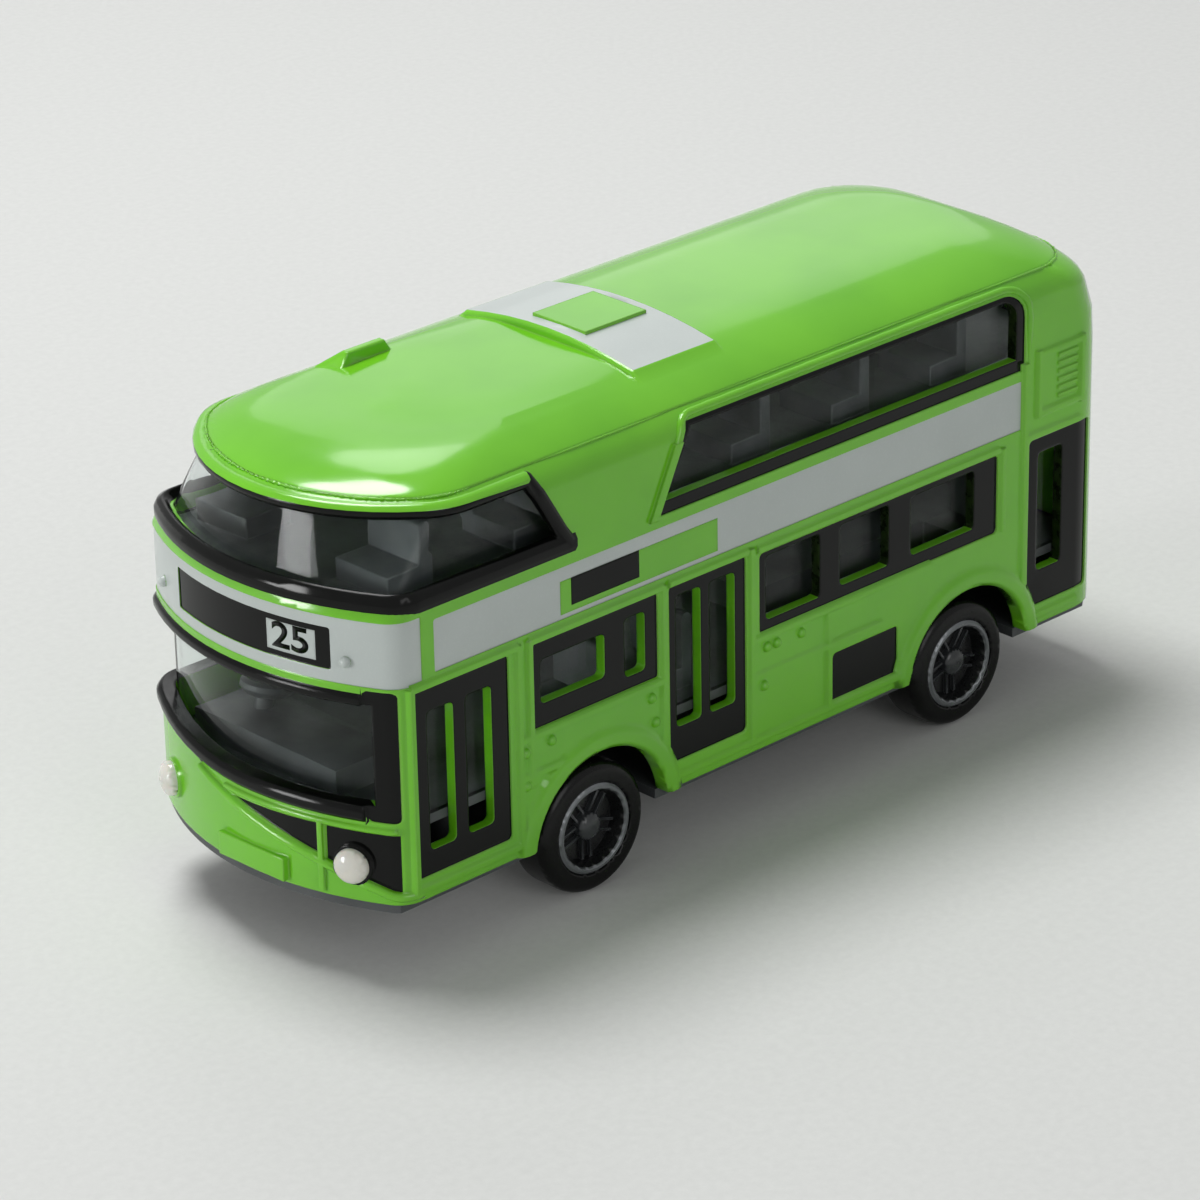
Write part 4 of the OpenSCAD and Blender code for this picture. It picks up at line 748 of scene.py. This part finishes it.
class BUS_OT_prints(bpy.types.Operator):
    """Bare blocks on the pale band, and the numbered box of the front sign"""

    bl_idname = "bus.prints"
    bl_label = "Prints"

    FRONT = Matrix(((0, 0, 1), (1, 0, 0), (0, 1, 0))).to_4x4()
    SIDE = Matrix(((-1, 0, 0), (0, 0, 1), (0, 1, 0))).to_4x4()
    # Places and sizes in millimetres; each block has its x range, z range, finish and ink thickness
    SIGN_AT, SIGN_BOX, INK = (62.5, 8.6, 39.5), (6.4, 3.5), 0.03
    DIGIT_SIZE, DIGIT_SPREAD, DIGIT_BOLD, DIGIT_INK = 4.25, 1.2, 0.022, 0.05
    CLEAR_OF_SIDE = 22.5
    BLOCKS = (
        ("band_block", (6.8, 31.4), (36.75, 40.8), "lacquer", 0.03),
        ("band_inset", (19.25, 29.75), (37.5, 40.8), "black", 0.06),
    )

    def execute(self, context):
        sign = Matrix.Translation(Vector(self.SIGN_AT) * MM) @ self.FRONT
        self.block("sign_box", sign, self.SIGN_BOX, "pale", self.INK, "x")
        self.digits(context, sign)
        for name, (x0, x1), (z0, z1), finish, ink in self.BLOCKS:
            middle = Vector(((x0 + x1) / 2, self.CLEAR_OF_SIDE, (z0 + z1) / 2))
            at = Matrix.Translation(middle * MM) @ self.SIDE
            self.block(name, at, (x1 - x0, z1 - z0), finish, ink, "y")
        return {"FINISHED"}

    def block(self, name, at, size, finish, ink, axis):
        """A printed rectangle laid on the wall."""
        bpy.ops.object.select_all(action="DESELECT")
        bpy.ops.mesh.primitive_grid_add(x_subdivisions=14, y_subdivisions=4, size=1, location=(0, 0, 0))
        piece = bpy.context.active_object
        piece.name = piece.data.name = name
        piece.data.transform(at @ Matrix.Diagonal((size[0] * MM, size[1] * MM, 1, 1)))
        self.laid(piece, finish, ink * MM, axis)

    def digits(self, context, at):
        """A plain number on the sign's box."""
        bpy.ops.object.select_all(action="DESELECT")
        bpy.ops.object.text_add(location=(0, 0, 0))
        text = context.active_object.data
        text.body = str(context.scene.bus_surface.number)
        text.align_x = text.align_y = "CENTER"
        text.offset = self.DIGIT_BOLD
        bpy.ops.object.convert(target="MESH")
        piece = context.active_object
        piece.name = piece.data.name = "sign_number"
        size = self.DIGIT_SIZE * MM
        piece.data.transform(at @ Matrix.Diagonal((self.DIGIT_SPREAD * size, size, 1, 1)))
        bpy.ops.object.mode_set(mode="EDIT")
        bpy.ops.mesh.select_all(action="SELECT")
        bpy.ops.mesh.quads_convert_to_tris()
        bpy.ops.mesh.subdivide(number_cuts=1)
        bpy.ops.object.mode_set(mode="OBJECT")
        self.laid(piece, "black", self.DIGIT_INK * MM, "x")

    def laid(self, piece, finish, height, axis):
        """Lays a flat print on the body, gives it its thickness and its ink."""
        applied(
            piece, "SHRINKWRAP", target=bpy.data.objects["lacquered_body"], wrap_method="PROJECT",
            use_project_x=axis == "x", use_project_y=axis == "y",
            use_negative_direction=True, use_positive_direction=False, offset=height,
        )
        applied(piece, "SOLIDIFY", thickness=height * 0.8, offset=-1)
        piece.data.materials.clear()
        piece.data.materials.append(finish_of(finish))
        settled(piece, "body")


class BUS_OT_lips(bpy.types.Operator):
    """Rolled lips that frame the long upper windows"""

    bl_idname = "bus.lips"
    bl_label = "Window Lips"

    # Corners of a lip in millimetres, as x, z and the rounding's reach; then its radius, depth and step
    PATH = ((17.0, 44.3, 0.6), (11.7, 54.5, 1.6), (-46.0, 54.5, 4.2), (-46.0, 44.3, 0.6))
    RADIUS, SUNK, STEP = 0.5, 0.12, 1.5

    def execute(self, context):
        for name, side in (("window_lip_left", 1), ("window_lip_right", -1)):
            bpy.ops.object.select_all(action="DESELECT")
            bpy.ops.curve.primitive_bezier_curve_add(location=(0, 0, 0))
            curve = context.active_object.data
            curve.splines.clear()
            route = self.route(side)
            spline = curve.splines.new("POLY")
            spline.points.add(len(route) - 1)
            for k, (point, at) in enumerate(zip(spline.points, route)):
                point.co = (*(at * MM), 1)
                taper = min(1.0, 0.35 + 0.2 * min(k, len(route) - 1 - k))
                point.radius = taper * (1 + 0.05 * math.sin(k * 2.3))
            curve.bevel_depth, curve.bevel_resolution, curve.use_fill_caps = self.RADIUS * MM, 4, True
            bpy.ops.object.convert(target="MESH")
            piece = context.active_object
            piece.name = piece.data.name = name
            piece.data.materials.clear()
            piece.data.materials.append(finish_of("lacquer"))
            bpy.ops.object.shade_smooth()
            settled(piece, "body")
        return {"FINISHED"}

    def route(self, side):
        """Points of a lip along the wall, with each corner rounded by its reach."""
        corners = [Vector((x, z)) for x, z, reach in self.PATH]
        flat = [corners[0]]
        for before, corner, after, (x, z, reach) in zip(corners, corners[1:], corners[2:], self.PATH[1:]):
            start = corner + (before - corner).normalized() * reach
            end = corner + (after - corner).normalized() * reach
            flat += [
                start.lerp(corner, t).lerp(corner.lerp(end, t), t) for t in (k / 8 for k in range(9))
            ]
        flat.append(corners[-1])
        fine = []
        for a, b in zip(flat, flat[1:]):
            cuts = max(1, round((b - a).length / self.STEP))
            fine += [a.lerp(b, k / cuts) for k in range(cuts)]
        fine.append(flat[-1])
        return [Vector((p.x, side * (HALF_W - side_in(p.y) - self.SUNK), p.y)) for p in fine]


class BUS_OT_glazing(bpy.types.Operator):
    """Clear window mouldings of both decks"""

    bl_idname = "bus.glazing"
    bl_label = "Glazing"

    def execute(self, context):
        for node, name in (("upper_glazing", "upper_panes"), ("lower_glazing", "lower_panes")):
            settled(dressed(node, name, ["clear"], angle=32.0), "body")
        return {"FINISHED"}


class BUS_OT_interior(bpy.types.Operator):
    """Grey deck mouldings with their seats"""

    bl_idname = "bus.interior"
    bl_label = "Interior"

    def execute(self, context):
        for node, name in (("upper_deck", "upper_seats"), ("lower_interior", "lower_seats")):
            piece = dressed(node, name, ["interior"], angle=30.0)
            applied(
                piece, "BEVEL", width=0.18 * MM, segments=2, limit_method="ANGLE",
                angle_limit=math.radians(40), use_clamp_overlap=True,
            )
            settled(piece, "body")
        return {"FINISHED"}


class BUS_OT_base(bpy.types.Operator):
    """Base plate, its screws and the motor case"""

    bl_idname = "bus.base"
    bl_label = "Base and Motor Case"

    def execute(self, context):
        settled(dressed("chassis", "base_plate", ["base"], angle=30.0), "body")
        settled(dressed("chassis_screws", "base_screws", ["screw"], angle=30.0), "body")
        for side in ("left", "right"):
            settled(dressed(f"motor_case_{side}", f"case_{side}", ["case"], angle=30.0), "body")
        for pin in ("idler_pin", "drum_pin"):
            settled(dressed(pin, pin.replace("_pin", "_spindle"), ["rod"], angle=30.0), "body")
        return {"FINISHED"}


class BUS_OT_lamps(bpy.types.Operator):
    """Domed headlamp pins"""

    bl_idname = "bus.lamps"
    bl_label = "Headlamps"

    def execute(self, context):
        for side in ("left", "right"):
            settled(dressed(f"headlamp_{side}", f"lamp_pin_{side}", ["lamp"], angle=50.0), "body")
        return {"FINISHED"}


class BUS_OT_wheels(bpy.types.Operator):
    """Hubs, tyres and axles"""

    bl_idname = "bus.wheels"
    bl_label = "Wheels"

    def execute(self, context):
        for end in ("front", "rear"):
            body = f"{end}_wheels"
            settled(dressed(f"{end}_axle", f"{end}_axle_rod", ["rod"], angle=30.0), body)
            for corner in (f"{end}_left", f"{end}_right"):
                hub = dressed(f"hub_{corner}", f"wheel_{corner}", ["hub", "foil", "dish"], hub_zone, 30.0)
                settled(hub, body)
                tyre = dressed(f"tyre_{corner}", f"rubber_{corner}", ["rubber"], angle=40.0)
                settled(tyre, body)
        return {"FINISHED"}


class BUS_OT_gears(bpy.types.Operator):
    """Gears and spring of the pull-back motor"""

    bl_idname = "bus.gears"
    bl_label = "Motor Gears"

    def execute(self, context):
        rows = (
            ("axle_gear", "axle_pinion", "gear", "rear_wheels", "gear"),
            ("idler_gear", "idler_cluster", "gear", "idler", "gear"),
            ("spring_drum", "drum_wheel", "gear", "drum", "gear"),
            ("mainspring", "drum_coil", "spring", "drum", "steel"),
        )
        for node, name, finish, body, slot in rows:
            settled(dressed(node, name, [finish], angle=30.0), body)
        return {"FINISHED"}


class BUS_OT_stage(bpy.types.Operator):
    """Pale floor, soft studio light and the camera"""

    bl_idname = "bus.stage"
    bl_label = "Stage"

    # Lights in metres: place, point looked at, width; then the share of the key or fill power
    LIGHTS = (
        ("key_light", (0.02, -0.28, 0.83), (0, 0, 0.03), 0.4, "key_power", 1.0),
        ("front_light", (0.84, -0.30, 0.16), (0, 0, 0.04), 0.26, "fill_power", 2.4),
        ("roof_light", (-0.36, -0.50, 0.69), (0.04, 0, 0.05), 0.24, "fill_power", 0.35),
        ("fill_light", (0.20, 0.80, 0.40), (0, 0, 0.03), 0.5, "fill_power", 1.0),
        ("rear_light", (-0.56, -0.60, 0.42), (0, 0, 0.05), 0.5, "fill_power", 0.3),
    )
    LENS, SENSOR = 149.68, 36.0

    def execute(self, context):
        stage, scene = context.scene.bus_stage, context.scene
        bpy.ops.object.select_all(action="DESELECT")
        bpy.ops.mesh.primitive_plane_add(size=6, location=(0, 0, 0))
        floor = context.active_object
        floor.name = "studio_floor"
        floor.data.materials.append(studio_floor())
        for name, at, toward, size, power, share in self.LIGHTS:
            self.lamp(name, at, toward, size, share * getattr(stage, power))
        self.sky(scene, stage.sky)
        self.camera(scene)
        scene.view_settings.view_transform = "Standard"
        return {"FINISHED"}

    def lamp(self, name, at, toward, size, power):
        """Round soft light that looks at a point."""
        data = bpy.data.lights.new(name, "AREA")
        data.shape, data.energy, data.size = "DISK", power, size
        made = bpy.data.objects.new(name, data)
        made.location = at
        made.rotation_euler = (Vector(toward) - Vector(at)).to_track_quat("-Z", "Y").to_euler()
        bpy.context.scene.collection.objects.link(made)

    def sky(self, scene, strength):
        """Even light, with a pale background where it is seen, mirrored or looked at through glass."""
        world = bpy.data.worlds.new("studio_air")
        world.use_nodes = True
        scene.world = world
        tree = world.node_tree
        level = add(tree, "ShaderNodeMapRange", {
            "Value": looked_at(tree), "To Min": strength, "To Max": BACKDROP_LEVEL,
        }).outputs["Result"]
        wire(tree, tree.nodes["Background"], {"Color": linear(BACKDROP), "Strength": level})

    def camera(self, scene):
        """Camera at the viewing angle: front and door side, from above."""
        data = bpy.data.cameras.new("bus_camera")
        data.sensor_fit, data.sensor_width, data.lens = "HORIZONTAL", self.SENSOR, self.LENS
        data.clip_start, data.clip_end = 0.01, 20.0
        made = bpy.data.objects.new("bus_camera", data)
        right, up = (-0.7208820, 0.6928381, -0.0174496), (-0.2976825, -0.2867984, 0.9105668)
        back, at = (0.6258708, 0.6616057, 0.4129936), (0.373154, 0.388538, 0.266159)
        made.matrix_world = Matrix((*zip(right, up, back, at), (0, 0, 0, 1)))
        scene.collection.objects.link(made)
        scene.camera = made


class BUS_PT_panel(bpy.types.Panel):
    """Steps and settings of the toy bus"""

    bl_idname = "BUS_PT_panel"
    bl_label = "Toy Bus"
    bl_space_type = "VIEW_3D"
    bl_region_type = "UI"
    bl_category = "Toy Bus"

    def draw(self, context):
        for step in STEPS:
            self.layout.operator(step.bl_idname)
        for group in (getattr(context.scene, name) for name in GROUPS):
            box = self.layout.box()
            for key in group.__annotations__:
                box.prop(group, key)


STEPS = (
    BUS_OT_body, BUS_OT_prints, BUS_OT_lips, BUS_OT_glazing, BUS_OT_interior,
    BUS_OT_base, BUS_OT_lamps, BUS_OT_wheels, BUS_OT_gears, BUS_OT_stage,
)
CLASSES = (BusPaint, BusMouldings, BusSurface, BusStage) + STEPS + (BUS_PT_panel,)
GROUPS = {
    "bus_paint": BusPaint, "bus_mouldings": BusMouldings, "bus_surface": BusSurface, "bus_stage": BusStage,
}


def register():
    """Adds the classes and hangs the settings on the scene."""
    for cls in CLASSES:
        bpy.utils.register_class(cls)
    for name, group in GROUPS.items():
        setattr(bpy.types.Scene, name, bpy.props.PointerProperty(type=group))


def unregister():
    """Takes the settings and the classes away again."""
    for name in GROUPS:
        delattr(bpy.types.Scene, name)
    for cls in reversed(CLASSES):
        bpy.utils.unregister_class(cls)


def main():
    """Builds the bus and its stage."""
    register()
    bpy.ops.bus.body()
    bpy.ops.bus.prints()
    bpy.ops.bus.lips()
    bpy.ops.bus.glazing()
    bpy.ops.bus.interior()
    bpy.ops.bus.base()
    bpy.ops.bus.lamps()
    bpy.ops.bus.wheels()
    bpy.ops.bus.gears()
    bpy.ops.bus.stage()


if __name__ == "__main__":
    main()
